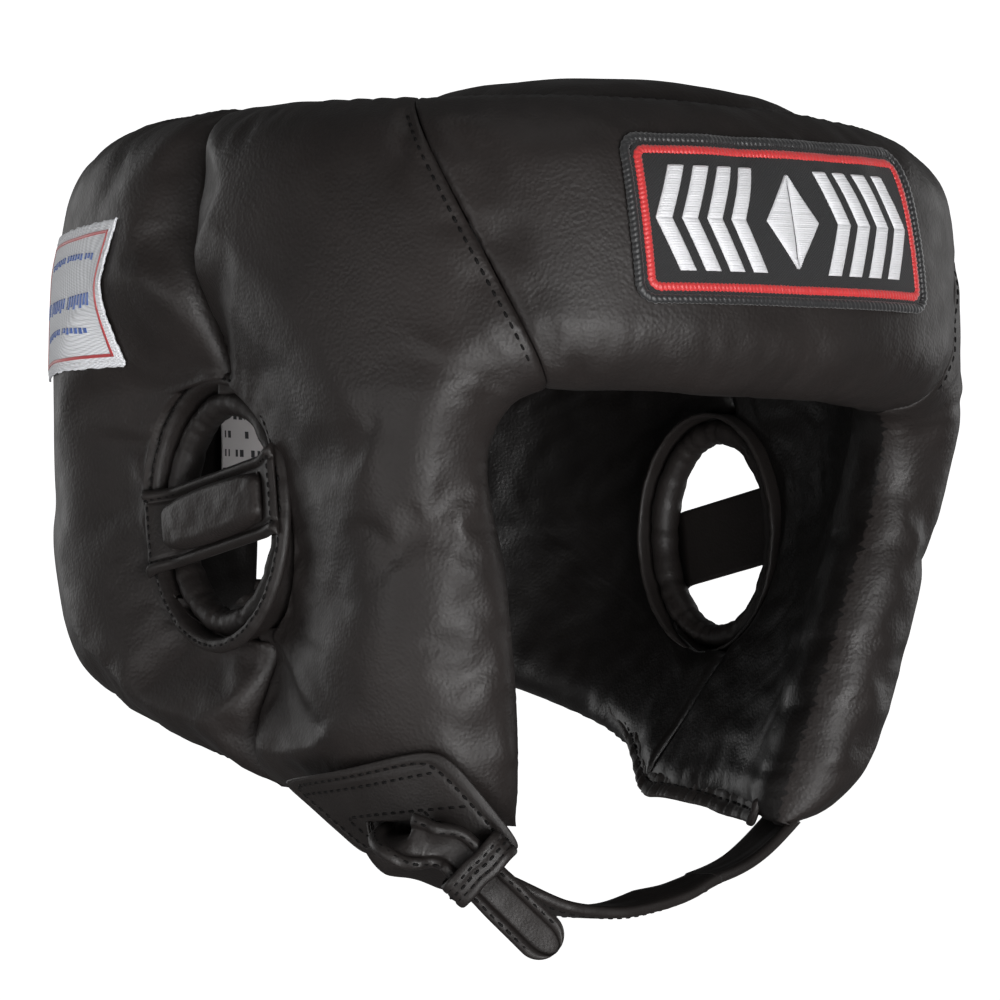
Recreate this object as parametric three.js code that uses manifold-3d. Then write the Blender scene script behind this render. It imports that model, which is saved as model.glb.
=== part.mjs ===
// Open-face boxing headgear: five leather pads sewn into a shell round the head, two crown flaps,
// bridged ear openings, and a chin strap that threads a slotted tab on the right cheek.
// Millimetres, +Z up. -Y is the face, +X is the wearer's left. The origin is the middle of the
// head cavity, just under the brow.

import * as THREE from 'three';
import { mergeVertices } from 'three/addons/utils/BufferGeometryUtils.js';
import Module from 'manifold-3d';

const wasm = await Module();
wasm.setup();

// Shell section, a superellipse seen from above
const HALF_WIDTH = 105;
const HALF_DEPTH = 121;
const SQUARENESS = 2.5;
const LEAN_FROM_Z = 40; // the pads lean inwards above this height
const LEAN = 0.0025; // mm inwards per mm squared
const CHIN_TAPER = 0.24; // share of the reach lost from the brow down to the cheeks, at the face
const JAW_TAPER = 0.29; // and from under the ear down to the lower edge, at the sides
const JAW_FROM_Z = -10;
const JAW_HEIGHT = 72;

// Heights
const RIM_Z = 88.5;
const REAR_RIM_Z = 96.5;
const BROW_Z = 16;
const CHEEK_Z = -90;
const JAW_Z = -82;
const NAPE_Z = -28;
const NAPE_FROM = 158; // degrees where the lower edge starts down from the nape

// Seams, in degrees from the face
const SEAM_TOP = 48;
const SEAM_BROW = 30;
const VALLEY_TOP = 90;
const VALLEY_UNDER_EAR = 84;
const VALLEY_LOW = 97;
const VALLEY_DEPTH = 12; // the pads dip this far where the side and back pads meet
const VALLEY_HALF = 7; // degrees
const BACK_END = 175.5;
const SEAM_GAP = 0.3; // degrees left each side of a seam
const VALLEY_GAP = 1.1;

// Layers
const LEATHER = 1.2;
const GAP = 0.3;
const FRONT_PAD = 28;
const REAR_PAD = 22;

const BINDING_HEIGHT = 6;
const BINDING_OFF = 1.8; // off the lining, which has coarser facets

// Ear openings
const EAR_Y = 6;
const EAR_Z = -10;
const EAR_TILT = 8; // degrees, top towards the back
const EAR_HOLE_WIDTH = 60;
const EAR_HOLE_HEIGHT = 67;
const EAR_HOLE_FROM_X = 50;
const EAR_HOLE_DEPTH = 80;
const EAR_SEGMENTS = 28;
const EAR_RING_BAND = 5.5;
const EAR_RING_DEPTH = 6;
const EAR_RING_X = 77;
const EAR_SINK = 16; // the pads thin by this much round the ear
const EAR_SINK_SPREAD = 32;
const FACING_X = 74;
const FACING_DEPTH = 15;
const BRIDGE_HEIGHT = 21;
const BRIDGE_THICKNESS = 1.6;
const BRIDGE_CLEAR = 5; // shorter than the opening in the facing
const BRIDGE_PAD_HEIGHT = 14;
const BRIDGE_PAD_LENGTH = 45;
const BRIDGE_PAD_DEPTH = 5;

// Crown
const CROWN_TOP = 101;
const CROWN_PAD = 9;
const FRONT_FLAP_END_Y = -16;
const REAR_FLAP_END_Y = 14;
const TONGUE_WIDTH = 44;
const TONGUE_END_Y = -62;
const TONGUE_THICKNESS = 1.8;
const HOOK_THICKNESS = 0.9;

// Rear strap
const REAR_STRAP_THICKNESS = 2;
const ANCHOR_THICKNESS = 2.6;

// Chin strap
const STRAP_WIDTH = 13;
const STRAP_THICKNESS = 3.2;
const TAB_THICKNESS = 1.1;
const TAB_OFF = 0.8; // off the cheek's cover
const TAIL_WIDTH = STRAP_WIDTH - 2;
const TAIL_TIP = new THREE.Vector3(-46, -88, -121);
const KEEPER = new THREE.Vector3(-63.2, -77, -101);
const KEEPER_LENGTH = 7;
const KEEPER_CLEAR = 0.8;
const KEEPER_WALL = 1.2;
const SLOT_FROM = 44.5; // degrees
const SLOT_TO = 58;
const SLOT_Z = -91.5;
const SLOT_HEIGHT = 5;

const clamp = THREE.MathUtils.clamp;
const lerp = THREE.MathUtils.lerp;
const smooth = (x) => THREE.MathUtils.smoothstep(x, 0, 1);

// Straight-line reading of a list of [input, value] points.
function reading(points) {
  return (x) => {
    const last = points.length - 2;
    let i = 0;
    while (i < last && x > points[i + 1][0]) i += 1;
    const [x0, y0] = points[i];
    const [x1, y1] = points[i + 1];
    return lerp(y0, y1, clamp((x - x0) / (x1 - x0), 0, 1));
  };
}

// Distance from the shell's axis to its outer surface.
function reach(degrees, z) {
  const angle = THREE.MathUtils.degToRad(degrees);
  const across = Math.abs(Math.sin(angle)) / HALF_WIDTH;
  const along = Math.abs(Math.cos(angle)) / HALF_DEPTH;
  const section = (across ** SQUARENESS + along ** SQUARENESS) ** (-1 / SQUARENESS);
  const lean = LEAN * Math.max(0, z - LEAN_FROM_Z) ** 2;
  const face = smooth((90 - Math.abs(degrees)) / 50);
  const nape = smooth((Math.abs(degrees) - 100) / 70);
  const chin = CHIN_TAPER * (Math.max(0, BROW_Z - z) / (BROW_Z - CHEEK_Z)) ** 1.25;
  const jaw = JAW_TAPER * (Math.max(0, JAW_FROM_Z - z) / JAW_HEIGHT) ** 1.7 * (1 - nape);
  return (section - lean) * (1 - lerp(jaw, chin, face));
}

// A point of the shell: degrees from the face towards the wearer's left, and depth under the surface.
function onShell(degrees, z, depth) {
  const angle = THREE.MathUtils.degToRad(degrees);
  const r = reach(degrees, z) - depth;
  return new THREE.Vector3(r * Math.sin(angle), -r * Math.cos(angle), z);
}

const padThickness = (degrees) => lerp(FRONT_PAD, REAR_PAD, smooth((degrees - 70) / 80));
const rim = (degrees) => lerp(RIM_Z, REAR_RIM_Z, smooth((degrees - SEAM_TOP) / 80));
const valley = reading([[-78, VALLEY_LOW], [-42, VALLEY_UNDER_EAR], [26, VALLEY_TOP]]);
const seam = reading([[BROW_Z, SEAM_BROW], [RIM_Z, SEAM_TOP]]);
const faceEdge = reading([[CHEEK_Z, 33], [-40, 34], [-4, 37], [BROW_Z, SEAM_BROW]]);

// Height of the lower edge, from the nape forward to the jaw, and on to the cheek.
function lowerEdge(degrees) {
  const jaw = lerp(NAPE_Z, JAW_Z, smooth((NAPE_FROM - degrees) / (NAPE_FROM - 90)));
  return jaw + (CHEEK_Z - JAW_Z) * smooth((90 - degrees) / 57);
}

// How far the outer surface dips under the plain shell, in the valley and round the ear.
function relief(degrees, z) {
  const side = Math.abs(degrees);
  const groove = VALLEY_DEPTH * (1 - smooth(Math.abs(side - valley(z)) / VALLEY_HALF));
  const y = -reach(side, z) * Math.cos(THREE.MathUtils.degToRad(side));
  const across = (y - EAR_Y) / (EAR_HOLE_WIDTH / 2);
  const up = (z - EAR_Z) / (EAR_HOLE_HEIGHT / 2);
  const away = (Math.hypot(across, up) - 1) * (EAR_HOLE_WIDTH / 2);
  return Math.max(groove, EAR_SINK * (1 - smooth(away / EAR_SINK_SPREAD)));
}

// Looks
const leather = { color: 0x2b2726, roughness: 0.5, metalness: 0 };
const foam = { color: 0x4a4a4c, roughness: 0.95, metalness: 0 };
const tape = { color: 0x141414, roughness: 0.95, metalness: 0 };
const woven = { color: 0xe9e9ea, roughness: 0.8, metalness: 0 };
const twill = { color: 0x111111, roughness: 0.85, metalness: 0 };

const headgear = new THREE.Group();

function add(name, geometry, look) {
  const mesh = new THREE.Mesh(geometry, new THREE.MeshStandardMaterial(look));
  mesh.name = name;
  headgear.add(mesh);
}

// A closed slab bent into shape: at(u, v, w) places the points of a unit block.
function bent(columns, rows, layers, at) {
  const box = new THREE.BoxGeometry(1, 1, 1, columns, rows, layers);
  const position = box.attributes.position;
  for (let i = 0; i < position.count; i += 1) {
    const u = position.getX(i) + 0.5;
    const v = position.getY(i) + 0.5;
    const w = position.getZ(i) + 0.5;
    const point = at(u, v, w);
    position.setXYZ(i, point.x, point.y, point.z);
  }
  alignDiagonals(box);
  return closed(box);
}

// Splits the block's last face along the same diagonals as the face opposite it, so that slabs
// bent alike nest without touching.
function alignDiagonals(box) {
  const index = box.index.array;
  const { start, count } = box.groups[5];
  for (let i = start; i < start + count; i += 6) {
    const [a, b, d, , c] = index.slice(i, i + 5);
    index.set([a, b, c, a, c, d], i);
  }
}

// The same piece for the other side of the head.
function mirrored(geometry) {
  const copy = closed(geometry).scale(-1, 1, 1);
  const index = copy.index.array;
  for (let i = 0; i < index.length; i += 3) {
    [index[i], index[i + 1]] = [index[i + 1], index[i]];
  }
  return copy;
}

// Only positions, with the points that meet made one.
function closed(geometry) {
  const copy = geometry.clone();
  copy.deleteAttribute('normal');
  copy.deleteAttribute('uv');
  return mergeVertices(copy, 1e-4);
}

function solid(geometry) {
  const merged = closed(geometry);
  return new wasm.Manifold(
    new wasm.Mesh({
      numProp: 3,
      vertProperties: Float32Array.from(merged.attributes.position.array),
      triVerts: Uint32Array.from(merged.index.array),
    }),
  );
}

// The geometry with the cutter's room taken out of it.
function without(geometry, cutter) {
  const mesh = solid(geometry).subtract(solid(cutter)).getMesh();
  const cut = new THREE.BufferGeometry();
  cut.setAttribute('position', new THREE.BufferAttribute(mesh.vertProperties.slice(), 3));
  cut.setIndex(new THREE.BufferAttribute(mesh.triVerts.slice(), 1));
  return cut;
}

// An upright ellipse of this size, pushed outwards from fromX, in the ear's place on the left.
function earBlock(width, height, fromX, depth, band = 0) {
  const shape = new THREE.Shape();
  shape.absellipse(0, 0, width / 2, height / 2, 0, Math.PI * 2);
  if (band > 0) {
    const hole = new THREE.Path();
    hole.absellipse(0, 0, width / 2 - band, height / 2 - band, 0, Math.PI * 2);
    shape.holes.push(hole);
  }
  const settings = { depth, curveSegments: EAR_SEGMENTS, bevelEnabled: false };
  return earPlaced(new THREE.ExtrudeGeometry(shape, settings), fromX);
}

// Turns a piece drawn facing +Z into the ear's tilted frame facing +X.
function earPlaced(geometry, fromX) {
  const tilt = THREE.MathUtils.degToRad(EAR_TILT);
  const turn = new THREE.Matrix4().makeBasis(
    new THREE.Vector3(0, 1, 0),
    new THREE.Vector3(0, 0, 1),
    new THREE.Vector3(1, 0, 0),
  );
  return geometry
    .applyMatrix4(turn)
    .applyMatrix4(new THREE.Matrix4().makeRotationX(-tilt))
    .translate(fromX, EAR_Y, EAR_Z);
}

const earHole = earBlock(EAR_HOLE_WIDTH, EAR_HOLE_HEIGHT, EAR_HOLE_FROM_X, EAR_HOLE_DEPTH);

// The cover, foam and lining of one pad, from the outside in.
function padLayers(name, columns, rows, place, hole, sides) {
  const layers = [
    ['cover', (dip) => dip, (dip) => dip + LEATHER, leather],
    ['foam', (dip) => dip + LEATHER + GAP, (dip, t) => t - LEATHER - GAP, foam],
    ['lining', (dip, t) => t - LEATHER, (dip, t) => t, leather],
  ];
  for (const [layer, outer, inner, look] of layers) {
    const whole = bent(columns, rows, 1, (u, v, w) => {
      const [degrees, z] = place(u, v);
      const t = padThickness(Math.abs(degrees));
      const dip = relief(degrees, z);
      return onShell(degrees, z, lerp(inner(dip, t), outer(dip, t), w));
    });
    const left = hole ? without(whole, hole) : whole;
    for (const side of sides) {
      const geometry = side === 'right' ? mirrored(left) : left;
      add(side ? `${side}_${name}_${layer}` : `${name}_${layer}`, geometry, look);
    }
  }
}

function addForehead() {
  padLayers('forehead', 12, 3, (u, v) => {
    const z = lerp(BROW_Z, RIM_Z, v);
    return [lerp(-1, 1, u) * (seam(z) - SEAM_GAP), z];
  }, null, ['']);
}

// The temple and cheek pad, from the seam and the face opening back to the valley.
function addSidePads() {
  const browShare = 4 / 7;
  padLayers('side', 8, 7, (u, v) => {
    const guess = lerp(faceEdge(lerp(CHEEK_Z, BROW_Z, v / browShare)), VALLEY_LOW, u);
    const z = v < browShare
      ? lerp(lowerEdge(guess), BROW_Z, v / browShare)
      : lerp(BROW_Z, rim(lerp(SEAM_TOP, VALLEY_TOP, u)), (v - browShare) / (1 - browShare));
    const front = z < BROW_Z ? faceEdge(z) : seam(z);
    return [lerp(front + SEAM_GAP, valley(z) - VALLEY_GAP, u), z];
  }, earHole, ['right', 'left']);
}

function addBackPads() {
  padLayers('back', 9, 5, (u, v) => {
    const guess = lerp(VALLEY_LOW, BACK_END, u);
    const z = lerp(lowerEdge(guess), rim(guess), v);
    return [lerp(valley(z) + VALLEY_GAP, BACK_END, u), z];
  }, earHole, ['right', 'left']);
}

// The stitched binding inside the lower edge, from the cheek to the nape.
function addBindings() {
  const binding = bent(22, 1, 1, (u, v, w) => {
    const degrees = lerp(faceEdge(CHEEK_Z) + 1, BACK_END, u);
    const inner = padThickness(degrees) + BINDING_OFF;
    return onShell(degrees, lowerEdge(degrees) + 1 + v * BINDING_HEIGHT, lerp(inner + LEATHER, inner, w));
  });
  add('right_lower_binding', mirrored(binding), leather);
  add('left_lower_binding', binding, leather);
}

function addEars() {
  const width = EAR_HOLE_WIDTH - 2 * GAP;
  const height = EAR_HOLE_HEIGHT - 2 * GAP;
  const inset = 2 * (LEATHER + 2 * GAP);
  const bridgeX = EAR_RING_X + EAR_RING_DEPTH + GAP;
  const bridgeLength = width - inset - BRIDGE_CLEAR;
  const pieces = {
    ear_facing: earBlock(width, height, FACING_X, FACING_DEPTH, LEATHER),
    ear_ring: earBlock(width - inset, height - inset, EAR_RING_X, EAR_RING_DEPTH, EAR_RING_BAND),
    ear_bridge: earPlaced(
      new THREE.BoxGeometry(bridgeLength, BRIDGE_HEIGHT, BRIDGE_THICKNESS),
      bridgeX + BRIDGE_THICKNESS / 2,
    ),
    ear_bridge_pad: earPlaced(
      new THREE.BoxGeometry(BRIDGE_PAD_LENGTH, BRIDGE_PAD_HEIGHT, BRIDGE_PAD_DEPTH, 2, 2, 1),
      bridgeX + BRIDGE_THICKNESS + GAP + BRIDGE_PAD_DEPTH / 2,
    ),
  };
  for (const [name, geometry] of Object.entries(pieces)) {
    add(`right_${name}`, mirrored(geometry), leather);
    add(`left_${name}`, closed(geometry), leather);
  }
}

// Height of the crown's outer surface.
const dome = (x, y) => CROWN_TOP - 7 * (y / 86) ** 4 - 9 * (x / 60) ** 2;

// The pad layers of a crown flap between the shell's inner wall and an edge near the middle.
function flapLayers(name, wallDegrees, endY, endHalfWidth) {
  const layers = [
    ['cover', 0, LEATHER, leather],
    ['foam', LEATHER + GAP, CROWN_PAD - LEATHER - GAP, foam],
    ['lining', CROWN_PAD - LEATHER, CROWN_PAD, leather],
  ];
  const facing = endY < 0 ? 1 : -1;
  for (const [layer, outer, inner, look] of layers) {
    add(`${name}_${layer}`, bent(8, 6, 1, (u, v, w) => {
      const degrees = lerp(-wallDegrees, wallDegrees, u);
      const wall = onShell(degrees, RIM_Z, FRONT_PAD + 1.5);
      const x = lerp(wall.x, lerp(-endHalfWidth, endHalfWidth, u), v);
      const y = lerp(wall.y, -Math.abs(endY), v);
      const z = dome(x, y) - lerp(inner, outer, w);
      return new THREE.Vector3(facing * x, facing * y, z);
    }), look);
  }
}

// A flat strip under the crown, with its top this far below the outer surface.
function crownStrip(halfWidth, fromY, toY, depth, thickness, rows) {
  return bent(2, rows, 1, (u, v, w) => {
    const x = lerp(-halfWidth, halfWidth, u);
    const y = lerp(fromY, toY, v);
    return new THREE.Vector3(x, y, dome(x, y) - depth - lerp(thickness, 0, w));
  });
}

// The front flap closes over a tongue from the rear flap, with hook and loop tape between them.
function addCrown() {
  flapLayers('crown_front', 30, FRONT_FLAP_END_Y, 40);
  flapLayers('crown_rear', 30, REAR_FLAP_END_Y, 40);
  const half = TONGUE_WIDTH / 2;
  const loopTop = CROWN_PAD + 2 * GAP;
  const hookTop = loopTop + HOOK_THICKNESS + 2 * GAP;
  const tongueTop = hookTop + HOOK_THICKNESS + 2 * GAP;
  const loopTape = crownStrip(half - 4, TONGUE_END_Y, -22, loopTop, HOOK_THICKNESS, 5);
  const hookTape = crownStrip(half - 4, TONGUE_END_Y + 2, -24, hookTop, HOOK_THICKNESS, 5);
  const tongue = crownStrip(half, TONGUE_END_Y, 60, tongueTop, TONGUE_THICKNESS, 12);
  add('crown_loop_tape', loopTape, tape);
  add('crown_hook_tape', hookTape, tape);
  add('crown_tongue', tongue, leather);
}

// A strip on the outside of the back pads, from one height to another and this far off the cover.
function backStrip(fromDegrees, toDegrees, low, high, off, thickness, columns) {
  return bent(columns, 2, 1, (u, v, w) =>
    onShell(lerp(fromDegrees, toDegrees, u), lerp(low, high, v), -off - lerp(0, thickness, w)));
}

// The rear strap crosses the gap in the back from the right pad and closes on the left one.
function addRearClosure() {
  const off = 2 * GAP;
  const loopTop = off + HOOK_THICKNESS;
  const hookTop = loopTop + GAP + HOOK_THICKNESS;
  add('rear_loop_tape', backStrip(148, 172, -4, 40, off, HOOK_THICKNESS, 4), tape);
  add('rear_hook_tape', backStrip(150, 170, 0, 36, loopTop + GAP, HOOK_THICKNESS, 4), tape);
  add('rear_strap', backStrip(148, 187, -3, 39, hookTop + GAP, REAR_STRAP_THICKNESS, 8), leather);
  add('rear_strap_anchor', backStrip(188, 214, -5, 41, off, ANCHOR_THICKNESS, 5), leather);
}

function addBadges() {
  add('forehead_patch', bent(10, 2, 1, (u, v, w) =>
    onShell(lerp(-20.5, 22, u), lerp(40, 76.5, v), -lerp(0.6, 2.1, w))), twill);
  add('size_label', mirrored(bent(6, 2, 1, (u, v, w) =>
    onShell(lerp(100, 132, u), lerp(29.5, 65.5, v), -lerp(0.6, 1.2, w)))), woven);
  add('care_label', bent(2, 2, 1, (u, v, w) =>
    new THREE.Vector3(lerp(-28, -1, u), lerp(93.8, 96.4, u) - 0.6 * w, lerp(2, 34, v))), woven);
}

// A point of the tab's outline, drawn on the left cheek.
function tabPoint(u, v, depth) {
  const lowFront = [31.5, -97];
  const lowRear = [60, -98];
  const highFront = [44.5, -70];
  const highRear = [79, -78];
  const degrees = lerp(lerp(lowFront[0], lowRear[0], u), lerp(highFront[0], highRear[0], u), v);
  const z = lerp(lerp(lowFront[1], lowRear[1], u), lerp(highFront[1], highRear[1], u), v);
  return onShell(degrees, z, depth);
}

// The slotted tab on the outside of the right cheek: a cover and a backing.
function addTab() {
  const slot = bent(4, 1, 1, (u, v, w) =>
    onShell(lerp(SLOT_FROM, SLOT_TO, u), SLOT_Z + (v - 0.5) * SLOT_HEIGHT, lerp(12, -12, w)));
  const plates = { chin_tab_backing: TAB_OFF, chin_tab: TAB_OFF + TAB_THICKNESS + GAP };
  for (const [name, off] of Object.entries(plates)) {
    const plate = bent(6, 6, 1, (u, v, w) => tabPoint(u, v, -off - w * TAB_THICKNESS));
    add(name, mirrored(without(plate, slot)), leather);
  }
}

// A flat strap swept along a curve, with its width turned to follow a second curve.
function strap(points, acrosses, width, thickness, steps) {
  const line = new THREE.CatmullRomCurve3(points.map((p) => new THREE.Vector3(...p)));
  const turns = new THREE.CatmullRomCurve3(acrosses.map((p) => new THREE.Vector3(...p)));
  return bent(steps, 2, 1, (u, v, w) => {
    const centre = line.getPoint(u);
    const along = line.getTangent(u);
    const across = turns.getPoint(u);
    across.addScaledVector(along, -across.dot(along)).normalize();
    const out = new THREE.Vector3().crossVectors(along, across);
    return centre.addScaledVector(across, (v - 0.5) * width).addScaledVector(out, (w - 0.5) * thickness);
  });
}

// A block this much bigger all round than the strap's tail.
function keeperBlock(margin, length) {
  return new THREE.BoxGeometry(TAIL_WIDTH + 2 * margin, STRAP_THICKNESS + 2 * margin, length);
}

// The strap runs from the left cheek under the chin to the tab's slot. Its tail comes out through the
// slot, turns forward, and hangs through the keeper loop.
function addChinStrap() {
  const tail = new THREE.Vector3().subVectors(TAIL_TIP, KEEPER).normalize();
  const off = new THREE.Vector3(-0.65, -0.76, 0);
  off.addScaledVector(tail, -off.dot(tail)).normalize();
  const across = new THREE.Vector3().crossVectors(off, tail);
  const underChin = [
    [16, -64, -104], [0, -66, -108], [-15, -67, -111], [-30, -65, -110.5], [-43, -60, -105], [-55, -50, -96],
  ];
  const underChinAcross = [[0, 1, 0], [0, 1, 0], [0, 1, 0], [0, 1, 0], [0.3, 1, 0], [0.8, 1, 0]];
  add('chin_strap', strap(underChin, underChinAcross, STRAP_WIDTH, STRAP_THICKNESS, 24), leather);
  const before = KEEPER.clone().addScaledVector(tail, -12);
  add('chin_strap_tail', strap(
    [[-73.5, -61, -92], [-78.5, -65.5, -95.5], before.toArray(), KEEPER.toArray(), TAIL_TIP.toArray()],
    [[0.8, -1, 0], [0.8, -1, 0], across.toArray(), across.toArray(), across.toArray()],
    TAIL_WIDTH, STRAP_THICKNESS, 16,
  ), leather);
  const frame = new THREE.Matrix4().makeBasis(across, off, tail);
  const keeper = without(
    keeperBlock(KEEPER_CLEAR + KEEPER_WALL, KEEPER_LENGTH),
    keeperBlock(KEEPER_CLEAR, KEEPER_LENGTH + 2),
  );
  add('strap_keeper', keeper.applyMatrix4(frame).translate(...KEEPER.toArray()), leather);
  // The anchor is sewn under the left cheek and narrows to the strap's width.
  const strapEnd = new THREE.Vector3(17.5, -64, -103.5);
  add('left_strap_anchor', bent(3, 6, 1, (u, v, w) => {
    const root = onShell(lerp(35, 58, u), CHEEK_Z - 0.5 - GAP, FRONT_PAD / 2);
    const end = strapEnd.clone().add(new THREE.Vector3(0, (u - 0.5) * STRAP_WIDTH, 0));
    const point = end.lerp(root, v);
    point.z -= 2.5 * Math.sin(Math.PI * v);
    return point.add(new THREE.Vector3(lerp(-1, 1, w), 0, lerp(1, -1, w)).multiplyScalar(0.9));
  }), leather);
}

addForehead();
addSidePads();
addBackPads();
addBindings();
addEars();
addCrown();
addRearClosure();
addBadges();
addTab();
addChinStrap();

export default headgear;
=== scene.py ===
"""Boxing headgear: padded leather shell, crown flaps, bridged ears, chin strap, patch and labels."""

import math

import bpy
import numpy as np
from bpy.props import FloatProperty, FloatVectorProperty, PointerProperty
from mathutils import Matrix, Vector
from mathutils.bvhtree import BVHTree


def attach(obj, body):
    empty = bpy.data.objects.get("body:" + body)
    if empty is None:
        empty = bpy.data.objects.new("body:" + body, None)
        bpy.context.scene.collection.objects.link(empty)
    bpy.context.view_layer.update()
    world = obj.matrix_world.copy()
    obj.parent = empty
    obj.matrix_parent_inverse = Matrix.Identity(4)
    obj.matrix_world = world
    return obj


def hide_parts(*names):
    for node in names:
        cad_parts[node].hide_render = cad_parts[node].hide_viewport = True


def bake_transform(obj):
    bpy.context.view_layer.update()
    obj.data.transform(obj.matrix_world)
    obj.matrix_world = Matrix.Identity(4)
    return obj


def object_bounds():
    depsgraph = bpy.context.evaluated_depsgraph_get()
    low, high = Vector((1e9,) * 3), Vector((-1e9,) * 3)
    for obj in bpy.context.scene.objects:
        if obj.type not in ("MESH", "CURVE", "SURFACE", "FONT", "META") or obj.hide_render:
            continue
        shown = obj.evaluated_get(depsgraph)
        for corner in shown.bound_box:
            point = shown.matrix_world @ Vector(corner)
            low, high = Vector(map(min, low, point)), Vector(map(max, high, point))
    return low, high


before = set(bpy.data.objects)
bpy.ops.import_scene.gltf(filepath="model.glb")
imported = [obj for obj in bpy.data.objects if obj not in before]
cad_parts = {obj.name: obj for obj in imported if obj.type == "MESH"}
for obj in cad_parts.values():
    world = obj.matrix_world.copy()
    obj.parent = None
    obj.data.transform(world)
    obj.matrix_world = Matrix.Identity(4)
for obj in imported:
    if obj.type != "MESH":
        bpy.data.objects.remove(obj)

bl_info = {
    "name": "Boxing Headgear",
    "version": (1, 0, 0),
    "blender": (4, 5, 0),
    "location": "View3D > Sidebar > Headgear",
    "description": "Builds the leather pads, trim, straps and badges of a boxing headgear round its frame",
    "category": "Object",
}

MM = 0.001
CAD_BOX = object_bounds()
SHELL, CROWN, CLOSURE, STRAP_END, KEEPER = "shell", "crown_flap", "rear_closure", "strap_end", "keeper"

# Lines of the pattern, as (degrees from the face, height in millimetres)
FACE_EDGE = [
    (30, 16), (34, 12.5), (36.6, 5), (37.4, -4), (36.6, -16), (35, -32), (33.8, -50), (33, -70), (33, -90)]
VALLEY = [(97, -90), (97, -78), (84, -44), (90, 26), (90, 110)]
EAR_Y, EAR_Z, EAR_TILT = 6.0, -10.0, math.radians(8)
EAR_HALF_WIDTH, EAR_HALF_HEIGHT = 29.5, 33.2
BROW_Z, CHEEK_Z, JAW_Z, NAPE_Z = 16.0, -90.0, -82.0, -28.0
RIM_Z, REAR_RIM_Z = 88.5, 96.5
SEAM_BROW, SEAM_TOP, BACK_END = 30.0, 48.0, 175.5
FRONT_PAD, REAR_PAD = 28.0, 22.0
SEAM_GAP, VALLEY_GAP = 0.12, 0.25  # degrees left on each side


# ---------------------------------------------------------------- settings

class HeadgearShell(bpy.types.PropertyGroup):
    """Sizes of the padded shell."""
    half_width: FloatProperty(
        name="Half width", description="Outer half width at the temples", default=105 * MM, unit="LENGTH")
    half_depth: FloatProperty(
        name="Half depth", description="Outer half depth, brow to nape", default=121 * MM, unit="LENGTH")
    squareness: FloatProperty(
        name="Squareness", description="Superellipse exponent of the section", default=2.5, min=2, max=4)
    grid: FloatProperty(
        name="Grid", description="Spacing of the pads' surface points", default=1.3 * MM, unit="LENGTH")
    fullness: FloatProperty(
        name="Fullness", description="How much the wrinkles and gathers stand out", default=1.2, min=0, max=3)
    cloth_grid: FloatProperty(
        name="Cloth grid", description="Spacing of the simulated leather", default=4.2 * MM, unit="LENGTH")
    slack: FloatProperty(
        name="Slack", description="Spare leather that the simulation creases", default=0.035, min=0, max=0.2)
    pressure: FloatProperty(
        name="Pressure", description="Push of the foam on the leather", default=4.0, min=0)
    most_puff: FloatProperty(
        name="Most puff", description="Furthest that the simulation moves the leather", default=1.3 * MM,
        unit="LENGTH")


class HeadgearLeather(bpy.types.PropertyGroup):
    """Colours and finish of the leathers."""
    cover: FloatVectorProperty(
        name="Cover", description="Outer leather", subtype="COLOR", size=3,
        default=(0.0150, 0.0121, 0.0113), min=0, max=1)
    # Painted shade: the lining colour is about a third of the cover's, so the inside of the shell looks
    # shaded.
    lining: FloatVectorProperty(
        name="Lining", description="Inner leather", subtype="COLOR", size=3,
        default=(0.0045, 0.0038, 0.0036), min=0, max=1)
    strap: FloatVectorProperty(
        name="Strap", description="Strap and tab leather", subtype="COLOR", size=3,
        default=(0.0130, 0.0106, 0.0099), min=0, max=1)
    roughness: FloatProperty(
        name="Roughness", description="Middle roughness of the cover leather", default=0.5, min=0, max=1)


class HeadgearTrim(bpy.types.PropertyGroup):
    """Threads, patch and labels."""
    thread: FloatVectorProperty(
        name="Thread", description="Sewing thread", subtype="COLOR", size=3,
        default=(0.0040, 0.0036, 0.0036), min=0, max=1)
    patch_border: FloatVectorProperty(
        name="Patch border", description="Satin border of the patch", subtype="COLOR", size=3,
        default=(0.56, 0.028, 0.03), min=0, max=1)
    patch_motif: FloatVectorProperty(
        name="Patch motif", description="Satin thread of the patch's motif", subtype="COLOR", size=3,
        default=(0.66, 0.66, 0.68), min=0, max=1)
    stitch_gap: FloatProperty(
        name="Stitch spacing", description="Distance from one stitch to the next", default=3.1 * MM,
        unit="LENGTH")


def settings():
    scene = bpy.context.scene
    return scene.headgear_shell, scene.headgear_leather, scene.headgear_trim


# ---------------------------------------------------------------- numbers

def smooth(x):
    x = np.clip(x, 0, 1)
    return x * x * (3 - 2 * x)


def mix(a, b, t):
    return a + (b - a) * t


def table(points, key=1):
    """Straight-line reading of points, by their column `key`."""
    ordered = sorted(points, key=lambda p: p[key])
    xs = np.array([p[key] for p in ordered], float)
    ys = np.array([p[1 - key] for p in ordered], float)
    return lambda x: np.interp(x, xs, ys)


def unit(v):
    v = np.asarray(v, float)
    return v / np.maximum(np.linalg.norm(v, axis=-1, keepdims=True), 1e-9)


def catmull_rom(points, stretches, per_stretch):
    """The curve from each numbered point to the next, shaped by the points on either side."""
    t = np.linspace(0, 1, per_stretch, endpoint=False)[:, None]
    parts = []
    for i in stretches:
        a, b, c, d = points[i - 1:i + 3]
        parts.append(0.5 * (2 * b + (c - a) * t + (2 * a - 5 * b + 4 * c - d) * t ** 2
                            + (3 * b - a - 3 * c + d) * t ** 3))
    return np.vstack(parts)


def through(points, count):
    """A smooth open curve through points, evenly spaced along its length."""
    p = np.asarray(points, float)
    p = np.vstack([2 * p[0] - p[1], p, 2 * p[-1] - p[-2]])
    curve = catmull_rom(p, range(1, len(p) - 2), 24)
    return evenly(np.vstack([curve, p[-2][None]]), count)


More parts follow.
